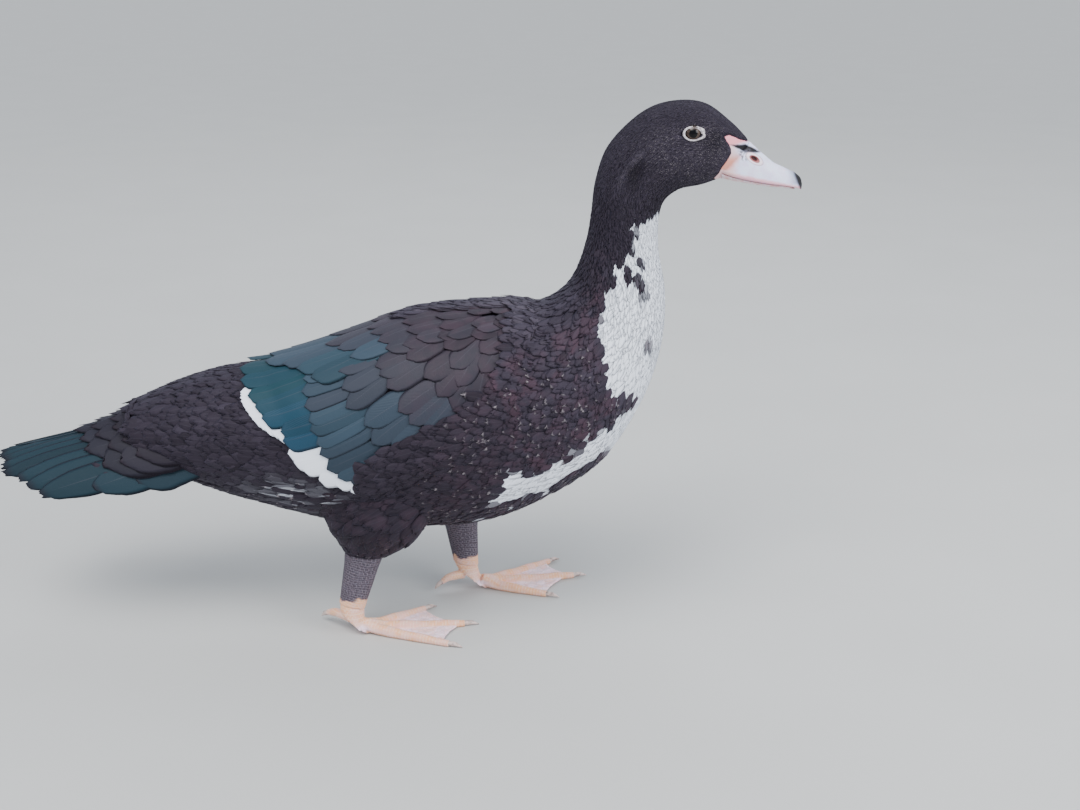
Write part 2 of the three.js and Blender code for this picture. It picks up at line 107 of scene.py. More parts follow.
def bare_body(t, angle, lift):
    """The body's plain surface. t runs from the tail root to the face, and angle in
    radians from the middle of the back round the bird's left side."""
    top, low = curve(TOP_LINE, t), curve(LOW_LINE, t)
    half = top[..., 1].copy()
    top[..., 1] = 0
    low[..., 1] = 0
    up = top - low
    tall = np.linalg.norm(up, axis=-1) / 2
    up = up / (2 * tall[..., None])
    place = (top + low) / 2 + up * (swell(np.cos(angle)) * (tall + lift))[..., None]
    place[..., 1] += swell(np.sin(angle)) * (half + lift)
    return place


EYE = np.array([225.4, 455.5])  # x and z of the eye's middle
EYE_OUT = 18.8
EYE_RADIUS = 7.4
SOCKET_DEPTH = 6.5
LID_OPENING = np.array([6.6, 4.6])  # half length and half height between the lids
LID_OUTSIDE = np.array([9.2, 6.3])
EAR_RIDGE = [(187, 441), (175.3, 431.9), (169.6, 423.6), (165.6, 415.2)]
EAR_HOLLOW = (180.5, 425)
JAW_FOLD = [(178, 418), (174, 409), (172, 400)]


def round_eye(x, z, size):
    """Distance from the eye's middle in side view, 1 being an oval of that half size."""
    return np.hypot((x - EYE[0]) / size[0], (z - EYE[1]) / size[1])


def mound(x, z, middle, size):
    """1 at a middle in side view, and falling off within about size."""
    return np.exp(-(((x - middle[0]) / size[0]) ** 2) - ((z - middle[1]) / size[1]) ** 2)


def near_line(x, z, line):
    """Distance from a broken line in side view."""
    best = np.full(np.shape(x), 1e9)
    for (ax, az), (bx, bz) in zip(line, line[1:]):
        dx, dz = bx - ax, bz - az
        s = np.clip(((x - ax) * dx + (z - az) * dz) / (dx * dx + dz * dz), 0, 1)
        best = np.minimum(best, np.hypot(x - ax - s * dx, z - az - s * dz))
    return best


def inside(x, z, outline):
    """True inside a closed outline in side view."""
    found = np.zeros(np.shape(x), bool)
    for (ax, az), (bx, bz) in zip(outline, outline[1:] + outline[:1]):
        crosses = (az > z) != (bz > z)
        at = ax + (bx - ax) * (z - az) / (bz - az if bz != az else 1e-9)
        found ^= crosses & (x < at)
    return found


def relief(t, angle):
    """What the face adds to the plain surface: the brow, the cheek, the groove before
    the eye, and the ridge and hollow over the ear."""
    t, angle = np.broadcast_arrays(t, angle)
    place = bare_body(t, angle, np.zeros(t.shape))
    x, z = place[..., 0], place[..., 2]
    flank = ramp(np.abs(np.sin(angle)), 0.35, 0.8)
    ring = round_eye(x, z, LID_OUTSIDE)
    brow = 0.6 * mound(x, z, (230, 465), (16, 5))
    cheek = 1.5 * mound(x, z, (214, 432), (17, 12))
    lore = -1.3 * mound(x, z, (243, 450), (9, 6))
    ridge = 1.3 * np.exp(-((near_line(x, z, EAR_RIDGE) / 2.8) ** 2))
    hollow = -4.4 * mound(x, z, EAR_HOLLOW, (5.5, 8))
    fold = -1.0 * np.exp(-((near_line(x, z, JAW_FOLD) / 3.4) ** 2))
    socket = -0.7 * np.exp(-(((ring - 1.1) / 0.3) ** 2))
    return flank * (brow + cheek + lore + ridge + hollow + fold + socket) * (t > 0.55)


def body(t, angle, lift):
    """The body's surface with the relief of the face."""
    return bare_body(t, angle, lift + relief(t, angle))


# Limbs: a row of stations, each with its centre, half its length fore and aft, half
# its width, and the angle by which its section leans up towards the front.
THIGH = {
    "right": [(-34, -50, 152, 48, 28, 0), (-46, -52, 116, 45, 24, 0),
              (-51, -49, 96, 33, 17, -0.06), (-61.5, -45, 80.3, 16.5, 8.4, -0.12)],
    "left": [(4, 50, 150, 42, 28, 0), (8, 52, 116, 36, 24, 0),
             (15, 49, 94, 26, 16, 0.03), (21, 45, 76.3, 16.5, 8.4, 0.06)],
}
SHANK = {
    "right": [(-61.5, -45, 80, 16.5, 8.4, -0.12), (-74.5, -45, 29, 11.6, 7, -0.26)],
    "left": [(21, 45, 76, 16.5, 8.4, 0.06), (25.5, 45, 27, 12, 7, -0.2)],
}


def limb(stations):
    """The surface of a limb: s runs down it, and angle round it from the front."""
    stations = np.asarray(stations, float)

    def place(s, angle, lift):
        s, angle, lift = np.broadcast_arrays(s, angle, lift)
        at, size = curve(stations[:, :3], s), curve(stations[:, 3:], s)
        fore = np.cos(angle) * (size[..., 0] + lift)
        out = at.copy()
        out[..., 0] += fore * np.cos(size[..., 2])
        out[..., 1] += np.sin(angle) * (size[..., 1] + lift)
        out[..., 2] += fore * np.sin(size[..., 2])
        return out

    return place


# Wing: a folded sheet over the flank, in t and in degrees from the middle of the back.
WING_THICK = 5.6  # millimetres above the body, as WING_EDGE is at the edges
WING_EDGE = 1.7
WING_FRONT = 0.381  # t of the wing's front and rear, and degrees of its top edge
WING_REAR = 0.15
WING_TOP = 1.6
OVERLAP = 2.8  # how far the body's feathers stand over the wing's edge
LOW_EDGE = [
    (0.15, 22), (0.168, 58), (0.19, 80), (0.215, 93), (0.245, 95), (0.268, 86),
    (0.296, 80), (0.325, 71), (0.352, 62), (0.371, 47), (0.381, 22),
]
LOW_SAMPLES = curve(LOW_EDGE, np.linspace(0, 1, 81))


def lowest_angle(t):
    """Degrees of the wing's low edge."""
    return np.interp(t, LOW_SAMPLES[:, 0], LOW_SAMPLES[:, 1])


def wing_height(t, degrees):
    """Millimetres from the body to the top of the wing's feathers."""
    front = ramp(WING_FRONT - t, 0, 0.03)
    rear = 0.45 + 0.55 * ramp(t, 0.125, 0.22)
    low = 0.35 + 0.65 * ramp(lowest_angle(t) - degrees, -6, 20)
    return WING_EDGE + (WING_THICK - WING_EDGE) * front * rear * low


def wing_sheet(side):
    return lambda t, degrees, lift: bare_body(
        t, side * np.radians(degrees), wing_height(t, degrees) + lift)


FLANK_LINE = [  # the angle beyond which the flank's feathers lie over the wing, by t
    (0.2, 112), (0.218, 104.4), (0.241, 96.4), (0.2625, 89.4), (0.2845, 86.6), (0.313, 81),
    (0.335, 74), (0.3515, 63), (0.362, 53), (0.366, 35),
]


def mantle(t, angle, lift):
    """The body's surface, raised where the flank, the breast and the middle of the back
    spread their feathers over the wings' edges."""
    side = np.degrees(np.abs(angle))
    raised = (wing_height(t, side) + OVERLAP) * ramp(lowest_angle(t) - side, -24, -10)
    raised = raised * ramp(t, 0.214, 0.231) * ramp(t, WING_FRONT + 0.016, WING_FRONT - 0.002)
    return body(t, angle, lift + raised)


def over_wing(t, side):
    """True where the coat shows over a wing's edge: at the flank, in front of the wing,
    along the middle of the back and behind it."""
    flank = side > read(FLANK_LINE, t)
    return flank | (t > 0.364) | ((side < 6.5) & (t > 0.25)) | (t < WING_REAR + 0.012)


def tail_sheet(across, along, lift):
    """A shallow arch, flatter towards the tips. Across runs from -1 at the right edge
    to 1 at the left, and along from the roots to the longest tip."""
    across, along, lift = np.broadcast_arrays(across, along, lift)
    bow = across**2
    root = np.stack([-230 + 26 * bow, 42 * across, 206 - 33 * bow], -1)
    tip = np.stack([-397 + 40 * bow, 58 * across, 163 - 30 * bow], -1)
    out = np.stack([np.full(bow.shape, -0.2), 0.45 * across, np.ones(bow.shape)], -1)
    out /= np.linalg.norm(out, axis=-1, keepdims=True)
    return root + (tip - root) * along[..., None] + out * lift[..., None]


# Markings, as numbers from 0 to 1 that skin and coat share. Degrees are from the middle
# of the back.
BIB_EDGE = [  # the angle from the back beyond which the neck and breast are white
    (0.45, 58), (0.489, 65), (0.511, 68), (0.527, 65), (0.543, 68), (0.56, 77), (0.573, 69),
    (0.59, 80), (0.606, 90), (0.618, 104), (0.627, 94), (0.638, 108), (0.646, 92),
    (0.66, 118), (0.677, 144), (0.686, 185),
]
BIB_FOOT = [  # the t under which it ends, by angle
    (60, 0.495), (68, 0.483), (76, 0.478), (84, 0.479), (88, 0.468), (95, 0.46), (111, 0.458),
    (118, 0.468), (132, 0.474), (143, 0.478), (147, 0.452), (180, 0.445),
]
BAND_EDGE = [  # the pale band under the breast
    (0.31, 190), (0.32, 140), (0.3245, 124), (0.3375, 114), (0.35, 108), (0.358, 106),
    (0.363, 114), (0.369, 117), (0.3845, 115), (0.406, 118), (0.4215, 113), (0.4445, 123),
    (0.458, 127), (0.47, 136), (0.4785, 142), (0.5, 149),
]
BELLY_EDGE = [(0.32, 124), (0.345, 130), (0.372, 132), (0.425, 135), (0.447, 141), (0.4785, 150)]
SMUDGES = [  # dark spots in the bib: t, degrees and how dark
    (0.58, 89, 1.0), (0.583, 104, 0.7), (0.573, 112, 0.6), (0.606, 107, 0.7), (0.645, 104, 0.6),
]
RUST_SPOT = (0.527, 129)  # t and degrees, as the middle of the streaked vent has
VENT = (0.178, 120)
FEATHER_LINE = [  # where the face's feathers end, from the gape up and over the bill
    (246, 416), (249.4, 421), (251.2, 426), (255.3, 432), (258.4, 437.5), (258.2, 441.5),
    (256.3, 445.6), (253.6, 449), (252.3, 452), (257, 453.4), (262, 451.2), (267.1, 448.9),
    (273, 447), (278, 447.6),
]
BARE_FACE = FEATHER_LINE + [(292, 447), (292, 412), (250, 412)]


def noise(*coordinates, seed=0):
    """A repeatable soft noise from -1 to 1."""
    total = 0
    for k, wave in enumerate((1.0, 2.17, 4.31)):
        phase = seed * 1.7 + k * 2.3
        turn = 0
        for n, c in enumerate(coordinates):
            turn = turn + np.sin(c * wave * (1 + 0.13 * n) + phase + 1.9 * n) * 1.7
        total = total + np.sin(turn + phase) / wave
    return total / 1.6


def body_markings(t, angle, jitter=0):
    """How white, how warm brown and how flecked the body is at t and angle. Jitter is
    each feather's own draw, which frays the edges."""
    t, angle = np.broadcast_arrays(t, angle)
    side = np.degrees(np.abs((angle + np.pi) % (2 * np.pi) - np.pi))
    ragged = 3.5 * noise(t * 160, angle * 5, seed=1) + 5 * jitter
    bib = ramp(side + ragged - read(BIB_EDGE, t), -2, 2)
    bib *= ramp(t + ragged * 0.0008 - read(BIB_FOOT, side), -0.002, 0.002)
    band = ramp(side + ragged * 0.8 - read(BAND_EDGE, t), -2, 2) * (t < 0.49)
    belly = ramp(side - read(BELLY_EDGE, t), 0, 5) * ramp(t, 0.45, 0.42)
    band = band * (1 - 0.85 * belly * (jitter > -0.22))
    white = np.maximum(bib, band)
    for at, degrees, deep in SMUDGES:
        spot = np.hypot((t - at) / 0.008, (side - degrees) / 7) + 0.5 * jitter
        white = white * (1 - deep * ramp(spot, 1.15, 0.75))
    rust = np.exp(-np.hypot((t - RUST_SPOT[0]) / 0.008, (side - RUST_SPOT[1]) / 6) ** 2)
    breast = ramp(t, 0.25, 0.36) * ramp(t, 0.62, 0.5) * ramp(side, 25, 60)
    warm = np.clip(breast * (0.6 + 0.5 * noise(t * 90, angle * 6, seed=2)) + rust, 0, 1)
    spread = ramp(t, 0.27, 0.33) * ramp(t, 0.485, 0.45) * ramp(side, 48, 66)
    vent = np.exp(-np.hypot((t - VENT[0]) / 0.027, (side - VENT[1]) / 11) ** 2)
    fleck = np.clip(0.45 * spread + vent + 0.8 * belly, 0, 1)
    white = np.maximum(ramp(white, 0.25, 0.75), vent * np.clip(0.3 + 0.9 * jitter, 0, 0.7))
    return {"white": white * (1 - 0.85 * ramp(rust, 0.35, 0.6)), "warm": warm, "fleck": fleck}


# Shader maths
class Value:
    """A shader socket with Python's arithmetic, each step of which adds a Math node."""

    def __init__(self, paint, socket):
        self.paint = paint
        self.socket = socket

    def maths(self, operation, *values):
        return self.paint.node("ShaderNodeMath", {"operation": operation}, dict(enumerate(values)))

    def __add__(self, other):
        return self.maths("ADD", self, other)

    def __sub__(self, other):
        return self.maths("SUBTRACT", self, other)

    def __rsub__(self, other):
        return self.maths("SUBTRACT", other, self)

    def __mul__(self, other):
        return self.maths("MULTIPLY", self, other)

    def __truediv__(self, other):
        return self.maths("DIVIDE", self, other)

    def __pow__(self, other):
        return self.maths("POWER", self, other)

    def __abs__(self):
        return self.maths("ABSOLUTE", self)

    __radd__ = __add__
    __rmul__ = __mul__

    def sine(self):
        return self.maths("SINE", self)

    def most(self, other):
        return self.maths("MAXIMUM", self, other)

    def step(self, low, high):
        """A smooth step from 0 at low to 1 at high."""
        return self.paint.node(
            "ShaderNodeMapRange",
            {"interpolation_type": "SMOOTHSTEP"},
            {"Value": self, "From Min": low, "From Max": high},
        )


class Paint:
    """A material under a maker's name. Constants go straight onto the shader."""

    def __init__(self, name, **constants):
        self.material = bpy.data.materials.new(name)
        self.material.use_nodes = True
        self.tree = self.material.node_tree
        self.shader = self.tree.nodes["Principled BSDF"]
        for socket, value in constants.items():
            self.shader.inputs[socket.replace("_", " ")].default_value = value

    def node(self, kind, settings=None, inputs=None, output=0):
        """Any node, with its settings set first, then the values or links of its sockets."""
        made = self.tree.nodes.new(kind)
        for key, value in (settings or {}).items():
            if key == "stops":
                self.set_stops(made.color_ramp, value)
            else:
                setattr(made, key, value)
        for key, value in (inputs or {}).items():
            self.feed(made.inputs[key], value)
        return Value(self, made.outputs[output])

    def feed(self, socket, value):
        if isinstance(value, Value):
            self.tree.links.new(value.socket, socket)
        else:
            socket.default_value = value

    @staticmethod
    def set_stops(color_ramp, stops):
        while len(color_ramp.elements) < len(stops):
            color_ramp.elements.new(0.5)
        for element, (position, colour) in zip(color_ramp.elements, stops):
            element.position = position
            element.color = (*colour, 1)

    def place(self):
        """Object coordinates, which are metres of the shared frame."""
        return self.node("ShaderNodeTexCoord", output="Object")

    def axes(self):
        """The bird's own x, distance from the middle plane, and z, in millimetres."""
        apart = self.node("ShaderNodeSeparateXYZ", inputs={0: self.place()})
        x, y, z = (Value(self, apart.socket.node.outputs[k]) for k in range(3))
        return x / MM - CENTRE[0], abs(y / MM - CENTRE[1]), z / MM

    def mark(self, name):
        """A number that the mesh carries."""
        return self.node("ShaderNodeAttribute", {"attribute_name": name}, output="Fac")

    def vane(self):
        """Across and along a feather, from its own map."""
        uv = self.node("ShaderNodeUVMap", {"uv_map": "vane"})
        apart = self.node("ShaderNodeSeparateXYZ", inputs={0: uv})
        return apart, Value(self, apart.socket.node.outputs[1])

    def speckle(self, scale, detail=3.0):
        inputs = {"Scale": scale, "Detail": detail, "Vector": self.place()}
        return self.node("ShaderNodeTexNoise", {}, inputs)

    def cells(self, scale, feature="F1"):
        inputs = {"Scale": scale, "Vector": self.place()}
        return self.node("ShaderNodeTexVoronoi", {"feature": feature}, inputs, "Distance")

    def mix(self, first, second, share):
        """The first colour, turned into the second by share."""
        pair = {
            key: (*value, 1) if isinstance(value, tuple) else value
            for key, value in ((6, first), (7, second))
        }
        return self.node("ShaderNodeMix", {"data_type": "RGBA"}, {0: share, **pair}, 2)

    def layers(self, colour, *layers):
        """A colour under others, each with its share."""
        for tint, share in layers:
            colour = self.mix(colour, tint, share)
        return colour

    def colours(self, value, stops):
        """The ramp of colours, read at a value."""
        return self.node("ShaderNodeValToRGB", {"stops": stops}, {0: value})

    def bump(self, height, strength, distance):
        inputs = {"Strength": strength, "Distance": distance, "Height": height}
        return self.node("ShaderNodeBump", {}, inputs)

    def finish(self, colour, roughness=None, normal=None):
        for socket, value in (("Base Color", colour), ("Roughness", roughness), ("Normal", normal)):
            if value is not None:
                self.feed(self.shader.inputs[socket], value)
        return self.material


# Linear colours
BLACK_BROWN = (0.027, 0.0205, 0.031)
MAROON = (0.066, 0.036, 0.052)
WHITE = (0.87, 0.91, 1.0)
FLECK = (0.36, 0.32, 0.34)


FACE_LOW, FACE_TALL = 412, 44  # the window in side view that holds the face's feather line
FACE_BACK, FACE_LONG = 240, 40
MOUTH_SLOPE, MOUTH_HEIGHT = 0.21, 473.8  # z + slope * x along the mouth line


def face_line(paint, z):
    """The x at which the feathers end at each height, from the gape to the top."""
    stops = [
        ((height - FACE_LOW) / FACE_TALL, ((x - FACE_BACK) / FACE_LONG,) * 3)
        for x, height in FEATHER_LINE[:9]
    ]
    return paint.colours((z - FACE_LOW) / FACE_TALL, stops) * FACE_LONG + FACE_BACK


def bill_colour(paint, x, y, z, soft):
    """The bill's skin and the bare skin of the face behind it."""
    drift = (soft - 0.5) * 6.0
    over = z + MOUTH_SLOPE * x - MOUTH_HEIGHT  # height over the mouth line
    gape = (x - 0.9 * (z - 424) + drift * 0.6).step(262.0, 254.0) * (z + drift * 0.3).step(440.0, 431.0)
    ridge = abs(z + 0.3 * (x - 264) - 443.4 + drift * 0.35) + abs(x - 271.5) * 0.24
    mottle = (x + 0.5 * (z - 435)).step(265.5, 268.0) * (x - 0.3 * (z - 435)).step(279.0, 273.0)
    mottle = mottle * z.step(430.0, 433.0) * z.step(441.5, 438.0)
    mottle = mottle * paint.speckle(300.0, 2.0).step(0.46, 0.58)
    across = abs(x - NOSTRIL[0]) / 5.3
    down = abs(z - NOSTRIL[1] + (x - NOSTRIL[0]) * 0.42) / 3.0
    ring = (across * across + down * down) ** 0.5
    blue = (x + drift * 0.5 + over * 0.25).step(308.0, 318.0) * over.step(1.0, 5.0)
    return paint.layers(
        paint.mix((0.71, 0.69, 0.91), (0.75, 0.79, 1.0), soft.step(0.38, 0.6)),
        ((0.80, 0.39, 0.44), (over + drift * 0.3).step(3.6, 0.8) * 0.85),  # along the mouth
        ((0.80, 0.52, 0.50), (x + drift * 0.5).step(267.5, 259.5) * 0.75),  # bare face
        ((0.74, 0.24, 0.14), gape * over.step(1.5, 4.5) * 0.8),
        ((0.85, 0.32, 0.38), (z - 0.1 * (x - 260) + drift * 0.2).step(443.0, 446.5)),  # upper edge
        ((0.006, 0.005, 0.008), ridge.step(4.4, 2.4)),  # the black band over the bill's root
        ((0.09, 0.08, 0.12), mottle * 0.85),
        ((0.42, 0.26, 0.33), ring.step(1.6, 1.42) * 0.7),  # round the nostril
        ((0.88, 0.74, 0.84), ring.step(1.42, 1.25)),  # its pale rim
        ((0.34, 0.12, 0.12), ring.step(0.95, 0.8)),  # its wall
        # painted shade: the nostril's hole is painted near black
        ((0.05, 0.015, 0.018), ring.step(0.62, 0.4)),  # its hole
        ((0.2, 0.23, 0.34), blue * 0.75),
        ((0.01, 0.009, 0.012), (x + over * 0.5 + y * 0.2 + drift * 0.15).step(319.5, 322.5)),  # nail
    )


def plumage_paint(name, tones, rough=0.55, barbs=55.0, sheen=0.05, rim_share=0.25):
    """Feathers: tones is the ramp of colours that the mark called tone picks from."""
    paint = Paint(name, Sheen_Weight=sheen, Sheen_Roughness=0.4, Sheen_Tint=(0.62, 0.62, 1.0, 1),
                  Specular_IOR_Level=0.13)
    tone, white, warm, fleck, shade = (
        paint.mark(n) for n in ("tone", "white", "warm", "fleck", "shade"))
    patches = paint.speckle(75.0)
    fine = paint.speckle(420.0)
    across, along = paint.vane()
    out = abs(across * 2 - 1)
    rim = out.step(0.84, 1.0).most(along.step(0.93, 1.0))
    quill = 1 - out.step(0.0, 0.05)
    lines = ((along - out * 0.3) * barbs * 6.283).sine() * 0.5 + 0.5
    tip = along.step(0.86, 0.96) * out.step(1.1, 0.2)
    colour = paint.mix(paint.colours(tone, tones), MAROON, warm * 0.85 * patches.step(0.38, 0.62))
    # the mark called shade darkens a feather: by a draw of its own, and on the head as painted shade
    colour = paint.layers(
        paint.mix(paint.mix(colour, (0.003, 0.002, 0.004), 0.75), colour, shade),
        ((0.014, 0.007, 0.012), rim * rim_share),
        ((0.1, 0.1, 0.12), quill * along.step(1.0, 0.7) * 0.2),
        (FLECK, tip * fleck * fine.step(0.36, 0.55)),
        (paint.mix((0.82, 0.86, 0.97), WHITE, shade), white),
    )
    normal = paint.bump(lines * 0.5 + fine * 0.7 + quill * 0.6, 0.3, 0.0005)
    return paint.finish(colour, rough + 0.12 * fine, normal)


def down_paint():
    """The skin under the coat, with the coat's colours, and bare before the feather line."""
    paint = Paint("plumage_down", Specular_IOR_Level=0.13)
    x, y, z = paint.axes()
    fine = paint.speckle(900.0)
    soft = paint.speckle(160.0)
    top = 453.6 - 0.42 * (x - 257).most(0.0) + 0.9 * (x - 272).most(0.0)
    bare = (x - face_line(paint, z)).step(-0.5, 0.5) * (z - top).step(0.5, -0.5)
    colour = paint.layers(
        paint.mix((0.008, 0.006, 0.009), BLACK_BROWN, fine),
        (MAROON, paint.mark("warm") * 0.5),
        ((0.82, 0.85, 0.95), paint.mark("white")),
        (bill_colour(paint, x, y, z, soft), bare),
    )
    return paint.finish(colour, 0.75 - 0.35 * bare, paint.bump(fine, 0.3, 0.0005))


# the body's tones run from black brown to a lighter purple grey, whose light end also gives the painted
# sheen of the back and crown
BODY_TONES = [(0.0, BLACK_BROWN), (0.4, (0.042, 0.034, 0.05)), (1.0, (0.098, 0.082, 0.104))]
WING_TONES = [
    (0.0, (0.019, 0.0135, 0.021)), (0.3, (0.029, 0.022, 0.031)), (0.5, (0.036, 0.036, 0.049)),
    (0.65, (0.036, 0.06, 0.085)), (0.82, (0.011, 0.044, 0.058)), (1.0, (0.02, 0.058, 0.1)),
]
TAIL_TONES = [(0.0, (0.021, 0.017, 0.026)), (0.5, (0.018, 0.022, 0.033)), (1.0, (0.012, 0.03, 0.042))]


# Pieces from arrays
def put_marks(mesh, marks):
    """Gives each point of a mesh the numbers that its material reads."""
    for key, values in marks.items():
        attribute = mesh.attributes.new(key, "FLOAT", "POINT")
        attribute.data.foreach_set("value", np.asarray(values, np.float32).ravel())


def mesh_piece(name, points, faces, material, marks=None, maps=None):
    """A smooth mesh from points in the bird's millimetres and faces of like size, with
    marks for each point and maps as pairs for each point."""
    mesh = bpy.data.meshes.new(name)
    faces = [np.asarray(f, np.int32) for f in (faces if isinstance(faces, list) else [faces])]
    corners = np.concatenate([f.ravel() for f in faces])
    sizes = np.concatenate([np.full(len(f), f.shape[1], np.int32) for f in faces])
    mesh.vertices.add(len(points))
    mesh.vertices.foreach_set("co", metres(points).astype(np.float32).ravel())
    mesh.loops.add(len(corners))
    mesh.loops.foreach_set("vertex_index", corners)
    mesh.polygons.add(len(sizes))
    starts = np.concatenate([[0], np.cumsum(sizes)[:-1]])
    mesh.polygons.foreach_set("loop_start", starts.astype(np.int32))
    mesh.update(calc_edges=True)
    put_marks(mesh, marks or {})
    for key, pairs in (maps or {}).items():
        layer = mesh.uv_layers.new(name=key)
        layer.data.foreach_set("uv", np.asarray(pairs, np.float32)[corners].ravel())
    mesh.shade_smooth()
    made = bpy.data.objects.new(name, mesh)
    bpy.context.scene.collection.objects.link(made)
    if material:
        mesh.materials.append(material)
    return made


def tube_grid(rows, around):
    """How far along and at which angle each point of a tube's wall is."""
    angle = np.linspace(-np.pi, np.pi, around, endpoint=False)
    return np.meshgrid(np.linspace(0, 1, rows + 1), angle, indexing="ij")


def tube(place, rows, around):
    """Points and faces of a closed tube from place(along, angle, reach), where along runs
    from 0 to 1, and a reach of 0 is the middle of an end."""
    along, angle = tube_grid(rows, around)
    wall = place(along, angle, np.ones(along.shape)).reshape(-1, 3)
    ends = place(np.array([0.0, 1.0]), np.zeros(2), np.zeros(2))
    i, j = np.meshgrid(np.arange(rows), np.arange(around), indexing="ij")
    k = (j + 1) % around
    here, beyond = i * around, (i + 1) * around
    quads = np.stack([here + j, here + k, beyond + k, beyond + j], -1).reshape(-1, 4)
    rim = np.arange(around)
    onward = (rim + 1) % around
    brim = rows * around
    first = np.stack([np.full(around, len(wall)), onward, rim], -1)
    last = np.stack([np.full(around, len(wall) + 1), brim + rim, brim + onward], -1)
    return np.vstack([wall, ends]), [quads, np.vstack([first, last])]


def take_up(made):
    """Selects one piece alone."""
    bpy.ops.object.select_all(action="DESELECT")
    bpy.context.view_layer.objects.active = made
    made.select_set(True)


def settled(made):
    """Recalculates a closed piece's normals so that its faces point outwards."""
    take_up(made)
    bpy.ops.object.mode_set(mode="EDIT")
    bpy.ops.mesh.select_all(action="SELECT")
    bpy.ops.mesh.remove_doubles(threshold=1e-6)
    bpy.ops.mesh.normals_make_consistent(inside=False)
    bpy.ops.object.mode_set(mode="OBJECT")
    bpy.ops.object.select_all(action="DESELECT")
    return made


def apply_modifier(made, kind, **settings):
    """Adds one modifier and applies it."""
    take_up(made)
    modifier = made.modifiers.new(kind.lower(), kind)
    for key, value in settings.items():
        setattr(modifier, key, value)
    bpy.ops.object.modifier_apply(modifier=modifier.name)
    made.select_set(False)


def joined(name, parts):
    """Several pieces as one."""
    bpy.ops.object.select_all(action="DESELECT")
    for part in parts:
        part.select_set(True)
    bpy.context.view_layer.objects.active = parts[0]
    bpy.ops.object.join()
    made = bpy.context.view_layer.objects.active
    made.name = name
    made.select_set(False)
    return made


def points_of(made):
    flat = np.zeros(len(made.data.vertices) * 3, np.float32)
    made.data.vertices.foreach_get("co", flat)
    return flat.reshape(-1, 3) / MM - CENTRE


def put_points(made, points):
    made.data.vertices.foreach_set("co", metres(points).astype(np.float32).ravel())
    made.data.update()


def ready(made, slot, *nodes):
    """The piece rides on the body and stands for its solids, which are hidden; the slot is not used."""
    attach(made, "root")
    if nodes:
        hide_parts(*nodes)


# Feathers
class Pattern:
    """One closed feather as a pattern: s along it, w across it, and how thick."""

    def __init__(self, rows, columns, outline, bow):
        i, j = np.meshgrid(np.arange(rows + 1), np.arange(columns + 1), indexing="ij")
        top = i * (columns + 1) + j
        inner = (i > 0) & (i < rows) & (j > 0) & (j < columns)
        under = top.copy()
        under[inner] = top.size + np.arange(inner.sum())
        i = np.concatenate([i.ravel(), i[inner]])
        j = np.concatenate([j.ravel(), j[inner]])
        share = i / rows
        self.w = 2 * j / columns - 1
        self.s = 1 - (1 - share) ** 1.5
        self.width = np.interp(self.s, *zip(*outline))
        self.bow = bow * self.w**2 * self.s**3
        self.under = np.arange(len(i)) >= top.size
        self.rim = (np.abs(self.w) > 0.99) | (share > 0.99)
        self.faces = np.vstack([
            np.stack([g[:-1, :-1], g[1:, :-1], g[1:, 1:], g[:-1, 1:]], -1).reshape(-1, 4)[:, ::turn]
            for g, turn in ((top, 1), (under, -1))
        ])


def outline(start, full, narrow, sharp):
    """A vane's width along it: it grows to its full width, then rounds off from narrow.
    A sharp of 2 is a round end, and less a pointed one."""
    s = np.linspace(0, 1, 60)
    end = np.clip((s - narrow) / (1 - narrow), 0, 1)
    width = (start + (1 - start) * ramp(s, 0, full)) * (1 - end**sharp) ** (1 / sharp)
    return list(zip(s, np.maximum(width, 0.16)))


BODY_FEATHER = Pattern(5, 4, outline(0.5, 0.45, 0.6, 2.0), 0.08)
PALE_TUFT = Pattern(5, 3, outline(0.55, 0.4, 0.3, 1.5), 0.05)
NECK_TUFT = Pattern(4, 2, outline(0.55, 0.4, 0.3, 1.5), 0.05)
HEAD_TUFT = Pattern(3, 2, outline(0.6, 0.4, 0.3, 1.5), 0.05)
QUILLED = Pattern(14, 8, outline(0.5, 0.4, 0.6, 2.1), 0.05)
FLIGHT = Pattern(18, 8, outline(0.6, 0.3, 0.8, 2.2), 0.04)
RECTRIX = Pattern(20, 8, outline(0.6, 0.3, 0.66, 1.6), 0.0)


BAKED_PATCH = 0.003  # each feather's size on the map called OFBake
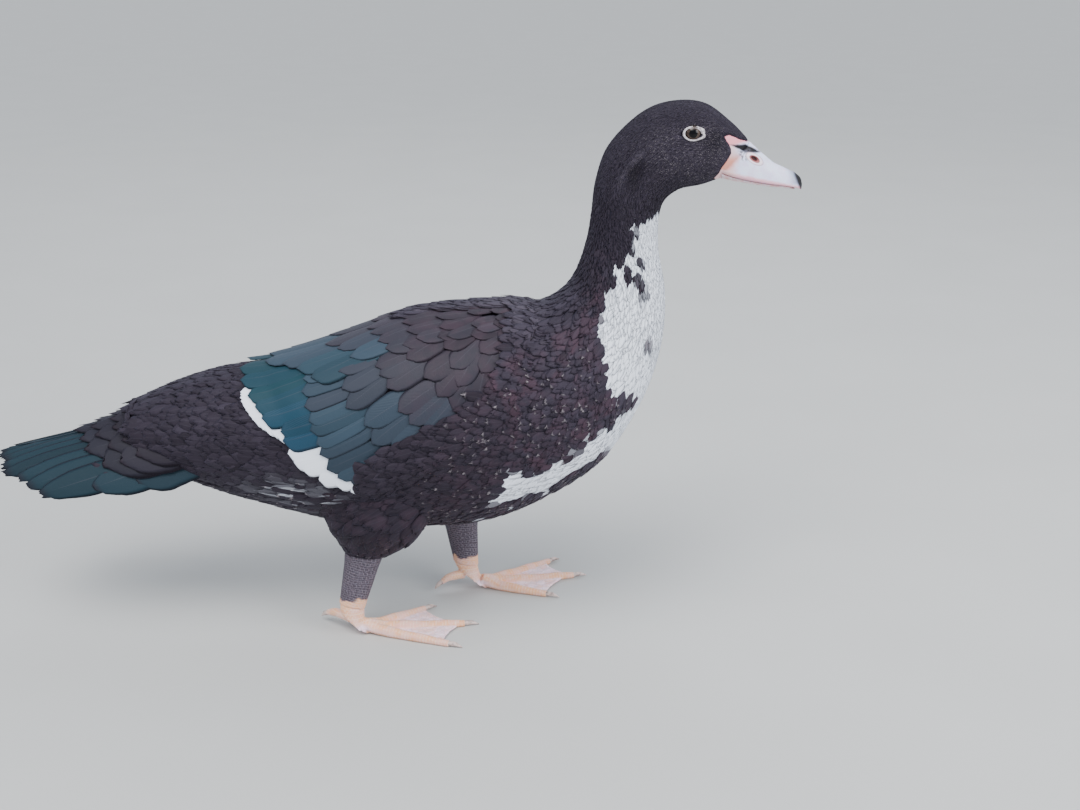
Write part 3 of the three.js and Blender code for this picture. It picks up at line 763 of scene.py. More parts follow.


class Feathers:
    """Feathers gathered into one piece, with the numbers that their material reads."""

    def __init__(self, name, seed):
        self.name = name
        self.rng = np.random.default_rng(seed)
        self.parts = []

    def add(self, pattern, place, unwrap, root, along, across, rise, thick, marks,
            tilt=0.0, camber=0.0, fray=0.0, bend=0.0, ease=1.0):
        """Lays one feather at each root. Along and across are steps on the sheet for its
        whole length and half its width, and rise is its height at root and tip, with ease
        saying how soon it climbs. Tilt lifts one edge, camber arches the vane, fray
        ruffles its rim, and bend curves it in its own plane."""
        n, many = len(root), len(pattern.s)

        def column(value):
            return np.broadcast_to(np.asarray(value, float).reshape(-1, 1), (n, 1))

        loose = self.rng.normal(size=(n, many)) * pattern.rim * fray
        s = (pattern.s - pattern.bow)[None] + loose * (pattern.s > 0.7) * 0.6
        w = (pattern.w * pattern.width)[None] * (1 + loose * 0.5)
        w = w + column(bend) * s**2
        spot = root[:, None, :] + along[:, None, :] * s[..., None]
        spot = spot + across[:, None, :] * w[..., None]
        low, high = column(rise[0]), column(rise[1])
        lift = low + (high - low) * np.clip(s, 0, 1.1) ** ease + column(tilt) * pattern.w
        lift = lift + (column(camber) - pattern.under * column(thick)) * (1 - pattern.w**2)
        points = place(spot[..., 0], spot[..., 1], lift)
        mid = int(np.argmin(np.abs(pattern.s - 0.5) + np.abs(pattern.w)))
        ahead, aside, out = (
            place(*(spot[:, mid] + way * 0.05).T, lift[:, mid] + more) - points[:, mid]
            for way, more in ((along, 0), (across, 0), (0 * along, 0.5))
        )
        turned = np.einsum("ij,ij->i", np.cross(ahead, aside), out) < 0  # faces that look inwards
        faces = pattern.faces[None] + (np.arange(n) * many)[:, None, None]
        faces[turned] = faces[turned][:, :, ::-1]
        vane = np.broadcast_to(np.stack([(pattern.w + 1) / 2, pattern.s], -1), (n, many, 2))
        patch = np.stack([pattern.w / 2, pattern.s - 0.5], -1) * BAKED_PATCH
        baked = unwrap(root[:, 0], root[:, 1])[:, None, :] + patch[None]
        marks = {"tone": 0, "white": 0, "warm": 0, "fleck": 0, "shade": 1, **marks}
        marks = {k: np.broadcast_to(column(v), (n, many)).ravel() for k, v in marks.items()}
        self.parts.append((points.reshape(-1, 3), faces.reshape(-1, 4), vane.reshape(-1, 2),
                           baked.reshape(-1, 2), marks))

    def build(self, material):
        points, faces, vane, baked, marks = zip(*self.parts)
        starts = np.cumsum([0] + [len(part) for part in points[:-1]])
        faces = np.concatenate([part + start for part, start in zip(faces, starts)])
        marks = {key: np.concatenate([part[key] for part in marks]) for key in marks[0]}
        maps = {"vane": np.concatenate(vane), "OFBake": np.concatenate(baked)}
        return mesh_piece(self.name, np.concatenate(points), faces, material, marks, maps)


def body_unwrap(t, angle):
    """The skin's own unwrap: the body in one field, the limbs beside it."""
    return np.stack([0.02 + 0.62 * t, 0.02 + 0.6 * (angle + np.pi) / (2 * np.pi)], -1)


def wing_unwrap(side):
    return lambda t, degrees: body_unwrap(t, side * np.radians(degrees))


def tail_unwrap(across, along):
    return np.stack([0.7 + 0.12 * across, 0.7 + 0.2 * along], -1)


def tangents(place, p, q):
    """The sheet's two directions, in millimetres for one step of each of its numbers."""
    d = 1e-4
    zero = np.zeros(np.shape(p))
    along = (place(p + d, q, zero) - place(p - d, q, zero)) / (2 * d)
    girth = (place(p, q + d, zero) - place(p, q - d, zero)) / (2 * d)
    return along, girth


def on_sheet(along, girth, way):
    """The steps on the sheet that a way in space is."""
    a, b, c = (np.einsum("...i,...i->...", x, y)
               for x, y in ((along, along), (along, girth), (girth, girth)))
    e, f = (np.einsum("...i,...i->...", x, way) for x in (along, girth))
    scale = 1 / (a * c - b * b)
    return np.stack([(c * e - b * f) * scale, (a * f - b * e) * scale], -1)


SCATTER_ROWS, SCATTER_COLUMNS = 420, 240
EVEN_STEPS = (0.7548776662467, 0.5698402909981)  # steps that fill a square evenly


def scatter(place, p_span, q_span, spacing):
    """Even places on a sheet, about spacing(p) millimetres apart."""
    p_edge = np.linspace(*p_span, SCATTER_ROWS + 1)
    q_edge = np.linspace(*q_span, SCATTER_COLUMNS + 1)
    p_middle, q_middle = (p_edge[1:] + p_edge[:-1]) / 2, (q_edge[1:] + q_edge[:-1]) / 2
    p, q = np.meshgrid(p_middle, q_middle, indexing="ij")
    along, girth = tangents(place, p, q)
    size = np.linalg.norm(np.cross(along, girth), axis=-1)
    size = size * (p_edge[1] - p_edge[0]) * (q_edge[1] - q_edge[0])
    weight = size / spacing(p) ** 2
    count = int(weight.sum())
    by_row = np.concatenate([[0], np.cumsum(weight.sum(1))])
    k = np.arange(count)
    u, v = ((0.5 + k * step) % 1 for step in EVEN_STEPS)
    found_p = np.interp(u * by_row[-1], by_row, p_edge)
    row = np.clip(np.searchsorted(by_row, u * by_row[-1]) - 1, 0, SCATTER_ROWS - 1)
    by_column = np.concatenate([np.zeros((SCATTER_ROWS, 1)), np.cumsum(weight, 1)], 1)
    by_column /= np.maximum(by_column[:, -1:], 1e-12)
    found_q = np.zeros(count)
    for r in np.unique(row):
        chosen = row == r
        found_q[chosen] = np.interp(v[chosen], by_column[r], q_edge)
    return found_p, found_q


def lie(place, p, q, heading, long, wide):
    """Along and across steps of feathers that lie back along the sheet's first number,
    turned by heading."""
    along, girth = tangents(place, p, q)
    ahead = -along / np.linalg.norm(along, axis=-1, keepdims=True)
    up = np.cross(along, girth)
    up /= np.linalg.norm(up, axis=-1, keepdims=True)
    side = np.cross(up, ahead)
    turn = heading[:, None]
    way = ahead * np.cos(turn) + side * np.sin(turn)
    flat = side * np.cos(turn) - ahead * np.sin(turn)
    return (on_sheet(along, girth, way) * np.reshape(long, (-1, 1)),
            on_sheet(along, girth, flat) * np.reshape(wide, (-1, 1)) / 2)


# Skin under the coat
def coat_depth(t):
    """Millimetres from the skin to the outline of the feathers."""
    return np.interp(t, [0, 0.4, 0.52, 0.62, 0.72, 1], [3.2, 3.2, 2.6, 1.9, 1.2, 0.8])


SKIN_VOXEL = 0.0021  # metres
THIGH_COAT = 2.2  # millimetres of feathers over a thigh's skin


def between(middle, outside, reach):
    """Places from the middle, at a reach of 0, to the outside, at a reach of 1."""
    return outside * reach[..., None] + middle * (1 - reach[..., None])


def trunk_skin(t, angle, reach):
    middle = (curve(TOP_LINE, t) + curve(LOW_LINE, t)) / 2 * np.array([1, 0, 1])
    return between(middle, body(t, angle, -coat_depth(t)), reach)


def centre_of(at, s):
    zero = np.zeros(np.shape(s))
    return (at(s, zero, zero) + at(s, zero + np.pi, zero)) / 2


def thigh_skin(name):
    at = limb(THIGH[name])
    return lambda s, angle, reach: between(centre_of(at, s), at(s, angle, -THIGH_COAT), reach)


def skin():
    """One skin for the trunk, neck, head, thighs and tail, and under the wings."""
    parts = [mesh_piece("trunk", *tube(trunk_skin, 260, 128), None)]
    for name in ("right", "left"):
        parts.append(mesh_piece("limb_" + name, *tube(thigh_skin(name), 40, 64), None))
    for place in (wing_bed(RIGHT), wing_bed(LEFT), tail_bed):
        parts.append(mesh_piece("bed", *bed(place), None))
    for part in parts:
        settled(part)
    made = joined("skin", parts)
    apply_modifier(made, "REMESH", mode="VOXEL", voxel_size=SKIN_VOXEL)
    apply_modifier(made, "SMOOTH", iterations=4, factor=0.5)
    return made


def bed(place):
    """A thin closed sheet: place gives its top, or its underside where under is 1."""
    rows, columns = 60, 40
    u, v = np.meshgrid(np.linspace(0, 1, columns + 1), np.linspace(0, 1, rows + 1))
    points = np.vstack([place(u, v, under).reshape(-1, 3) for under in (0, 1)])
    index = np.arange((rows + 1) * (columns + 1)).reshape(rows + 1, columns + 1)
    far = index.size
    grid = np.stack([index[:-1, :-1], index[1:, :-1], index[1:, 1:], index[:-1, 1:]], -1)
    grid = grid.reshape(-1, 4)
    rim = np.concatenate([index[0, :-1], index[:-1, -1], index[-1, :0:-1], index[:0:-1, 0]])
    wall = np.stack([rim, np.roll(rim, -1), np.roll(rim, -1) + far, rim + far], -1)
    return points, [np.vstack([grid, grid[:, ::-1] + far, wall])]


def wing_bed(side):
    """What lies under a wing's feathers."""

    def place(u, v, under):
        t = WING_REAR + 0.012 + (WING_FRONT - WING_REAR - 0.02) * v
        degrees = WING_TOP + (lowest_angle(t) - 5 - WING_TOP) * u
        lift = np.where(under, -7.0, wing_height(t, degrees) - 2.4)
        return bare_body(t, side * np.radians(degrees), lift)

    return place


def tail_bed(u, v, under):
    """The flesh under the tail's quills, deep at the root and thin by the tips."""
    across, along = (2 * u - 1) * (0.9 - 0.06 * under), 0.9 * v - 0.12
    deep = np.interp(along, [-0.12, 0.1, 0.35, 0.57, 0.78], [56, 50, 29, 13, 2.5])
    deep = 1.6 + deep * np.maximum(1 - (across / 0.9) ** 2, 0) ** 0.7
    return tail_sheet(across, along, -1.5 - under * deep)


def mark_skin(made):
    """Gives each point of the skin the markings of the body place nearest to it, and
    sinks a socket for each eye."""
    points = points_of(made)
    t, angle = np.meshgrid(np.linspace(0, 1, 300), np.linspace(-np.pi, np.pi, 200), indexing="ij")
    t, angle = t.ravel(), angle.ravel()
    places = body(t, angle, -coat_depth(t))
    tree = KDTree(len(t))
    for k, place in enumerate(places):
        tree.insert(place, k)
    tree.balance()
    nearest = np.array([tree.find(p)[1] for p in points])
    marks = body_markings(t[nearest], angle[nearest])
    put_marks(made.data, {key: marks[key] for key in ("white", "warm")})
    ring = round_eye(points[:, 0], points[:, 2], LID_OPENING)
    socket = (points[:, 0] > 150) * np.exp(-((ring / 0.95) ** 4)) * SOCKET_DEPTH
    points[:, 1] -= np.sign(points[:, 1]) * socket * (np.abs(points[:, 1]) > 12)
    put_points(made, points)


# Coat of the body
def feather_width(t):
    return np.interp(t, [0, 0.15, 0.25, 0.32, 0.38, 0.45, 0.5, 0.56, 0.63, 0.7, 0.8, 0.9, 1],
                     [14, 13.5, 12.5, 10.5, 9.5, 8.5, 7.4, 5.8, 4.4, 3.1, 2.2, 1.7, 1.3])


COAT_ZONES = [
    # name, t from and to, sides, pattern, feathers' length and spacing by width
    ("coat_rear", 0.032, 0.24, (-180, 180), BODY_FEATHER, 2.2, 0.5),
    ("coat_flank_right", 0.24, 0.43, (-180, 0), BODY_FEATHER, 2.2, 0.5),
    ("coat_flank_left", 0.24, 0.43, (0, 180), BODY_FEATHER, 2.2, 0.5),
    ("coat_breast", 0.43, 0.53, (-180, 180), BODY_FEATHER, 2.3, 0.5),
    ("coat_neck", 0.53, 0.69, (-180, 180), NECK_TUFT, 2.8, 0.47),
    ("coat_head_right", 0.69, 1.0, (-180, 0), HEAD_TUFT, 3.0, 0.503),
    ("coat_head_left", 0.69, 1.0, (0, 180), HEAD_TUFT, 3.0, 0.503),
]


def thigh_share(place, stations):
    """How far out from a thigh's middle a place is, 1 being its surface. The stations are
    turned over, so that their heights rise."""
    x, y, z, fore, wide, _ = np.array(stations, float)[::-1].T
    height = np.clip(place[..., 2], z[0], z[-1])
    middle_x, middle_y, long, half = (np.interp(height, z, v) for v in (x, y, fore, wide))
    return np.hypot((place[..., 0] - middle_x) / long, (place[..., 1] - middle_y) / half)


BARE_SHARE = 0.62  # how far along a feather the part is that others leave bare
TIP_SHARE = 0.85
THIGH_TOP = 145  # millimetres, under which the thighs carry their own coat


def head_share(t):
    """1 on the head and 0 below the neck."""
    return ramp(t, 0.64, 0.72)


def coat_places(zone, rng):
    """Where a zone's feathers stand, how wide they are, and their steps along and across.
    None stand under a wing, on a thigh, in an eye or on the bare face."""
    _, start, end, sides, _, length, spacing = zone
    t, angle = scatter(mantle, (start, end), np.radians(sides), lambda p: spacing * feather_width(p))
    width = feather_width(t) * rng.uniform(0.85, 1.15, len(t))
    long = width * length * rng.uniform(0.85, 1.15, len(t))
    place = mantle(t, angle, np.zeros(len(t)))
    ring = round_eye(place[:, 0], place[:, 2], LID_OUTSIDE)
    facing = (t > HEAD_START) & (ring < 1.7) & (place[:, 0] > EYE[0])
    long = np.where(facing, np.minimum(long, 3.0 * ring), long)
    turn = rng.normal(size=len(t)) * np.radians(7)
    around = ramp(ring, 2.6, 1.2) * (t > HEAD_START) * (place[:, 2] - EYE[1]) / 14
    along, across = lie(mantle, t, angle, turn - np.sign(angle) * around, long, width)
    tip = np.stack([t, angle], -1) + along * TIP_SHARE
    hidden = (t < WING_FRONT + 0.01) & (np.degrees(np.abs(angle)) < lowest_angle(t))
    hidden &= ~over_wing(tip[:, 0], np.degrees(np.abs(tip[:, 1])))
    for stations in THIGH.values():
        hidden |= (thigh_share(place, stations) < 1.0) & (place[:, 2] < THIGH_TOP)
    bare = inside(place[:, 0], place[:, 2], BARE_FACE)
    keep = ~hidden & ~((t > HEAD_START) & ((ring < 1.0) | bare))
    return [x[keep] for x in (t, angle, place, width, along, across)]


def coat_marks(t, angle, shown, place, rng):
    """Each feather's colours: the body's markings, painted shade in the head's hollows, and painted
    highlight and sheen.
    """
    n, x, z = len(t), place[:, 0], place[:, 2]
    side = np.degrees(np.abs(angle))
    marks = body_markings(shown[:, 0], shown[:, 1], rng.normal(size=n) * 0.5)
    head = head_share(t)
    hollow = mound(x, z, EAR_HOLLOW, (6, 9)) * head
    ridge = np.exp(-((near_line(x, z, EAR_RIDGE) / 3) ** 2)) * head
    cheek = head * ramp(side, 40, 70) * ramp(t, 0.74, 0.8)
    lore = head * mound(x, z, (247, 447), (9, 9))
    throat = head * ramp(z, 415, 395)
    marks["fleck"] = (rng.random(n) < marks["fleck"] * 0.55) * rng.uniform(0.3, 0.9, n)
    marks["fleck"] += head * rng.uniform(-0.15, 1.0, n).clip(0) * (0.35 + 0.65 * cheek)
    # painted shade: feathers darker in the hollow over the ear and in the groove before the eye; the
    # throat's are darker as well
    shade = rng.normal(0.8, 0.16, n) - 0.85 * hollow - 0.75 * lore - 0.3 * throat
    marks["shade"] = np.where(marks["white"] > 0.5, 1, np.clip(shade, 0.05, 1))
    # painted sheen: the top of the back is given a lighter tone
    back = 0.45 * ramp(side, 60, 15) * ramp(t, 0.48, 0.36) * ramp(t, 0.2, 0.3)
    # painted highlight along the ridge over the ear, painted shade in its hollow, and painted sheen lighter
    # towards the crown
    face = head * (0.1 + 0.22 * cheek + 0.6 * ridge - 0.3 * hollow + 0.2 * ramp(side, 60, 25))
    breast = ramp(t, 0.3, 0.45) * ramp(t, 0.55, 0.5) * 0.3
    rump = 0.1 * ramp(t, 0.26, 0.1)
    marks["tone"] = np.clip(back + face + breast + rump + rng.normal(size=n) * 0.08, 0, 1)
    return marks


def body_coat(material):
    """The feathers of the trunk, neck and head, zone by zone. Pale ones are broader, lie
    closer and shade off at a softer tip, and at the vent they are as thin as hairs."""
    for number, zone in enumerate(COAT_ZONES):
        name, start, pattern = zone[0], zone[1], zone[4]
        coat = Feathers(name, seed=20 + number)
        t, angle, place, width, along, across = coat_places(zone, coat.rng)
        root = np.stack([t, angle], -1)
        shown = root + along * BARE_SHARE
        marks = coat_marks(t, angle, shown, place, coat.rng)
        pale = marks["white"] > 0.5
        along = along * np.where(pale, 1.2, 1)[:, None]
        streaks = (shown[:, 0] < 0.24) & (marks["white"] > 0.08)
        across = across * np.where(streaks, 0.3, np.where(pale, 1.12, 1))[:, None]
        depth = coat_depth(t)
        puff = coat.rng.random(len(t)) * depth * (0.2 - 0.06 * head_share(t))
        puff = puff * np.where(pale, 0.4, 1) * ramp(t, -0.02, 0.1)
        low = (0.35 * pale - 0.95) * depth
        high = puff - (0.3 + 0.18 * pale + 0.4 * ramp(t, 0.11, 0.05)) * depth
        thick = np.clip(width * 0.05 * (1 - 0.7 * pale), 0.1, 0.45)
        camber = width * 0.05 * (1 - 0.95 * pale)
        pale_pattern = PALE_TUFT if pattern is BODY_FEATHER else pattern
        for chosen, form in ((~pale, pattern), (pale, pale_pattern)):
            if chosen.any():
                some = {key: value[chosen] for key, value in marks.items()}
                coat.add(form, mantle, body_unwrap, root[chosen], along[chosen], across[chosen],
                         (low[chosen], high[chosen]), thick[chosen], some,
                         camber=camber[chosen], fray=0.08, ease=0.8)
        ready(coat.build(material), "dark_plumage" if start < 0.6 else "head_plumage")


class Drape:
    """The finished skin as a sheet that feathers are laid on, each in its own frame."""

    def __init__(self, made):
        self.points = points_of(made)
        faces = [tuple(face.vertices) for face in made.data.polygons]
        self.tree = BVHTree.FromPolygons(self.points.tolist(), faces)
        flat = np.zeros(len(self.points) * 3, np.float32)
        made.data.vertex_normals.foreach_get("vector", flat)
        self.normals = flat.reshape(-1, 3)

    def seeds(self, chosen, spacing, rng):
        """Points of the skin, at least spacing apart, and their normals."""
        order = rng.permutation(np.flatnonzero(chosen))
        kept = np.zeros((0, 3))
        found = []
        for k in order:
            if len(kept) == 0 or np.min(np.sum((kept - self.points[k]) ** 2, 1)) > spacing**2:
                kept = np.vstack([kept, self.points[k]])
                found.append(k)
        return self.points[found], self.normals[found]

    def sheet(self, origin, ahead, side):
        """Steps along and across each feather's own frame, brought down to the skin."""

        def place(p, q, lift):
            p, q, lift = np.broadcast_arrays(p, q, lift)
            shape = (len(origin),) + (1,) * (p.ndim - 1) + (3,)
            start, on, over = (x.reshape(shape) for x in (origin, ahead, side))
            at = start + on * p[..., None] + over * q[..., None]
            down = np.empty(at.shape)
            out = np.empty(at.shape)
            for k in np.ndindex(p.shape):
                down[k], out[k] = self.tree.find_nearest(at[k])[:2]
            return down + out * lift[..., None]

        return place


def draped_coat(name, drape, chosen, way, width, length, depth, seed, material, slot, corner, marks):
    """Feathers on the finished skin wherever chosen, lying the way that way gives. Length
    is in widths, and corner is where their patch of the baked map starts."""
    coat = Feathers(name, seed)
    origin, out = drape.seeds(chosen, width * 0.46, coat.rng)
    n = len(origin)
    ahead = way(origin) + coat.rng.normal(size=(n, 3)) * 0.1
    ahead -= out * np.einsum("ij,ij->i", ahead, out)[:, None]
    ahead /= np.linalg.norm(ahead, axis=-1, keepdims=True)
    side = np.cross(out, ahead)
    wide = width * coat.rng.uniform(0.85, 1.15, n)
    long = wide * length * coat.rng.uniform(0.85, 1.15, n)
    frames = np.zeros((n, 2))
    turn = np.arctan2(*(origin - origin.mean(0))[:, [1, 0]].T) / (2 * np.pi) + 0.5
    flat = np.ptp(origin[:, 0]) > 80  # under the tail, which is unrolled as it lies
    field = origin[:, :2] / 600 if flat else np.stack([turn * 0.16, origin[:, 2] / 600], -1)
    field = field - field.min(0) + np.array(corner)
    none = np.zeros(n)
    marks = {key: v(origin, coat.rng) if callable(v) else v for key, v in marks.items()}
    rise = (0.1, depth * 0.7 + coat.rng.random(n) * 0.9)
    coat.add(BODY_FEATHER, drape.sheet(origin, ahead, side), lambda p, q: field, frames,
             np.stack([long, none], -1), np.stack([none, wide / 2], -1), rise, wide * 0.04, marks,
             camber=wide * 0.05, fray=0.07, ease=0.8)
    ready(coat.build(material), slot)


# Wing feathers, tier by tier from the rear. The roots of a tier lie above its tips by a
# slant that grows from its first feather to its last.
WING_TIERS = [
    # how many, how wide, how long, slant in degrees, tone or None for white, pattern, rise,
    # and the line of tips in t and degrees
    (13, 14, 42, (3, 8), None, FLIGHT, (-1.8, -1.0),
     [(0.1325, 38), (0.1335, 46), (0.14, 57), (0.148, 65.5), (0.162, 73)]),
    (6, 18, 40, (6, 16), None, FLIGHT, (-1.6, -0.5),
     [(0.17, 84), (0.1745, 89), (0.182, 93.5), (0.1955, 98.5), (0.21, 102), (0.222, 106)]),
    (7, 24, 64, (4, 12), (0.78, 1.0), FLIGHT, (-1.3, 0.1),
     [(0.1265, 10), (0.129, 24), (0.1355, 38.6), (0.141, 48), (0.148, 56), (0.1555, 63),
      (0.1635, 71), (0.166, 77)]),
    (11, 16, 54, (8, 22), (0.64, 0.58), FLIGHT, (-1.1, 0.6),
     [(0.1785, 27), (0.1845, 37), (0.1845, 48.8), (0.1885, 59.8), (0.192, 67), (0.1955, 75),
      (0.198, 82), (0.2025, 90), (0.2105, 96.5), (0.2215, 101)]),
    (6, 24, 52, (12, 30), (0.5, 0.6), QUILLED, (-1.0, 0.8),
     [(0.2145, 38), (0.218, 49.3), (0.223, 61), (0.237, 72), (0.2425, 82), (0.2565, 88)]),
    (6, 23, 50, (14, 42), (0.4, 0.54), QUILLED, (-0.9, 0.9),
     [(0.244, 40), (0.247, 48.3), (0.255, 56.3), (0.2635, 67.8), (0.271, 74), (0.282, 80)]),
    (5, 25, 48, (16, 56), (0.34, 0.44), QUILLED, (-0.8, 0.7),
     [(0.264, 33), (0.269, 42), (0.284, 53.6), (0.2915, 64), (0.305, 71)]),
    (5, 24, 44, (18, 64), (0.3, 0.38), QUILLED, (-0.7, 0.7),
     [(0.292, 29), (0.2965, 38), (0.304, 50), (0.309, 60), (0.323, 69)]),
    (4, 22, 38, (20, 66), (0.28, 0.34), QUILLED, (-0.7, 0.7),
     [(0.318, 31), (0.327, 43), (0.33, 54), (0.336, 64)]),
    (4, 20, 33, (18, 60), (0.24, 0.32), QUILLED, (-0.7, 0.7),
     [(0.34, 26), (0.346, 37), (0.348, 48), (0.35, 58)]),
    (3, 18, 22, (14, 50), (0.2, 0.28), QUILLED, (-0.7, 0.9),
     [(0.36, 27), (0.363, 38), (0.361, 48)]),
    (4, 28, 98, (2, 9), (0.62, 0.76), FLIGHT, (-0.9, 1.1),
     [(0.148, 8), (0.163, 18), (0.177, 27), (0.192, 37)]),
    (3, 27, 64, (3, 12), (0.46, 0.62), QUILLED, (-0.9, 1.2),
     [(0.2, 9), (0.212, 19), (0.225, 30)]),
    (4, 23, 50, (4, 15), (0.38, 0.5), QUILLED, (-0.8, 1.2),
     [(0.232, 7), (0.237, 15), (0.242, 25), (0.25, 34)]),
    (4, 22, 50, (4, 18), (0.32, 0.42), QUILLED, (-0.8, 1.2),
     [(0.26, 7), (0.263, 15), (0.267, 23), (0.275, 31)]),
    (4, 19, 44, (4, 18), (0.26, 0.38), QUILLED, (-0.8, 1.2),
     [(0.286, 6), (0.2885, 14), (0.293, 23), (0.299, 30)]),
    (4, 17, 31, (4, 18), (0.22, 0.34), QUILLED, (-0.7, 1.2),
     [(0.312, 6), (0.315, 14), (0.319, 22), (0.324, 29)]),
    (4, 15, 26, (4, 18), (0.18, 0.3), QUILLED, (-0.7, 1.1),
     [(0.336, 6), (0.338, 13), (0.342, 20), (0.347, 27)]),
]


def wing(side, name, material):
    sheet = wing_sheet(side)
    feathers = Feathers(f"wing_feathers_{name}", seed=40 + side)
    rng = feathers.rng
    for count, width, length, slants, tones, form, rise, tips in WING_TIERS:
        white = tones is None
        share = np.linspace(0, 1, count)
        tip = curve(tips, share)
        if not white:
            tip = tip + rng.normal(size=(count, 2)) * (0.0012, 0.7)
        along, girth = tangents(sheet, *tip.T)
        ahead = along / np.linalg.norm(along, axis=-1, keepdims=True)
        down = girth - ahead * np.einsum("ij,ij->i", girth, ahead)[:, None]
        down /= np.linalg.norm(down, axis=-1, keepdims=True)
        slant = np.interp(share, [0, 1], slants) + rng.normal(size=count) * 3
        slant = np.radians(slant)[:, None]
        run = length * rng.uniform(0.94, 1.06, (count, 1))
        root = tip + on_sheet(along, girth, ahead * np.cos(slant) - down * np.sin(slant)) * run
        half = width * rng.uniform(0.94, 1.08, (count, 1)) / 2
        across = on_sheet(along, girth, ahead * np.sin(slant) + down * np.cos(slant)) * half
        low, high = tones or (0, 0)
        marks = {
            "tone": low + (high - low) * share + rng.normal(size=count) * 0.03,
            "white": float(white),
            "warm": max(0, 0.5 - low) * 1.6,
            "shade": np.clip(rng.normal(0.88, 0.09, count), 0.4, 1),
        }
        feathers.add(form, sheet, wing_unwrap(side), root, tip - root, across, rise, 0.35, marks,
                     tilt=0.24, camber=width * 0.025, fray=0.01, bend=rng.normal(size=count) * 0.06)
    ready(feathers.build(material), "wing_feathers", f"wing_{name}")


# Tail feathers: quills first, then the rows of coverts over them
TAIL_ROWS = [
    # where across, how wide, where the roots start, rise, tilt, tone, pattern, reach
    (np.linspace(-0.93, 0.93, 16), 15.5, 0.0, (0.0, 0.2), 1.6, 1.0, RECTRIX, 0.985),
    (np.array([-1.0, 1.0]), 18, -0.03, (-0.5, -0.4), 1.0, 0.95, RECTRIX, 0.72),
    (np.array([-1.06, 1.06]), 17, -0.06, (-1.0, -0.8), 1.0, 0.9, RECTRIX, 0.5),
    (np.linspace(-0.82, 0.82, 8), 27, -0.12, (1.5, 4.5), 0.9, 0.2, QUILLED, 0.57),
    (np.linspace(-0.86, 0.86, 9), 25, -0.2, (3.0, 7.0), 0.8, 0.1, QUILLED, 0.47),
    (np.linspace(-0.85, 0.85, 9), 24, -0.28, (4.5, 9.5), 0.8, 0.0, QUILLED, 0.37),
    (np.linspace(-0.85, 0.85, 10), 22, -0.34, (6.0, 11.5), 0.8, 0.0, QUILLED, 0.28),
    (np.linspace(-0.85, 0.85, 10), 20, -0.4, (7.0, 13.0), 0.8, 0.0, QUILLED, 0.2),
]


def tail(material):
    feathers = Feathers("tail_feathers", seed=60)
    rng = feathers.rng
    for at, width, start, rise, tilt, tone, form, reach in TAIL_ROWS:
        count = len(at)
        main = tone == 1.0  # the row of the longest quills, of unequal lengths
        shorter = 0.9 * np.maximum(np.abs(at) - 0.65, 0) ** 2 if main else 0.1 * at**2
        tip = np.stack([at, reach - shorter + rng.uniform(-0.05 if main else -0.02, 0.008, count)], -1)
        root = np.stack([at * 0.92, np.full(count, start)], -1)
        across = np.stack([np.full(count, width / 100), np.zeros(count)], -1)
        marks = {"tone": tone, "shade": np.clip(rng.normal(0.85, 0.1, count), 0.4, 1)}
        middle = 1 - 0.4 * np.abs(at) ** 1.5  # the coverts are piled highest along the middle
        rise = (rise[0] * middle, rise[1] * middle)
        feathers.add(form, tail_sheet, tail_unwrap, root, tip - root, across, rise, 0.45, marks,
                     tilt=-np.sign(at) * tilt, camber=0.6, fray=0.01,
                     bend=rng.normal(size=count) * 0.03)
    ready(feathers.build(material), "tail_feathers", "tail")


# Bill
UPPER_BILL = [
    # top x, z, low x, z, half width
    (276.2, 445.2, 251.6, 421.4, 14.2), (282.4, 439.9, 262, 417.6, 14), (289.4, 434, 275, 414.6, 13.8),
    (297.6, 427.7, 290, 412.0, 13.4), (306.4, 423.6, 302, 410.4, 12.6), (314.8, 419.4, 312, 408.8, 10.2),
    (320.6, 414.8, 319, 406.6, 5.6), (322.6, 410, 322, 405.2, 2),
]
LOWER_BILL = [
    (251.3, 420.8, 253.4, 414.4, 13.2), (262, 417, 265.3, 412.2, 13.2), (275, 414, 278.3, 410.2, 12.8),
    (290, 411.4, 291.3, 408.2, 12.2), (302, 409.8, 304.2, 406.9, 11), (311, 408.2, 312, 405.8, 8.2),
    (316, 406.8, 316, 405, 4),
]
NOSTRIL = np.array([279.3, 432.4])  # x and z


def bill_half(stations, way):
    """One half of the bill. Way is the half that arches, 1 above and -1 below."""
    tops = [(tx, half, tz) for tx, tz, lx, lz, half in stations]
    lows = [(lx, half, lz) for tx, tz, lx, lz, half in stations]

    def place(a, angle, reach):
        top, low = curve(tops, a), curve(lows, a)
        half = top[..., 1]
        arch, flat = (top, low) if way > 0 else (low, top)
        high = np.maximum(0, way * np.cos(angle)) ** 0.8 * reach
        out = flat + (arch - flat) * high[..., None]
        out[..., 1] = np.sin(angle) * half * reach
        return out

    return place


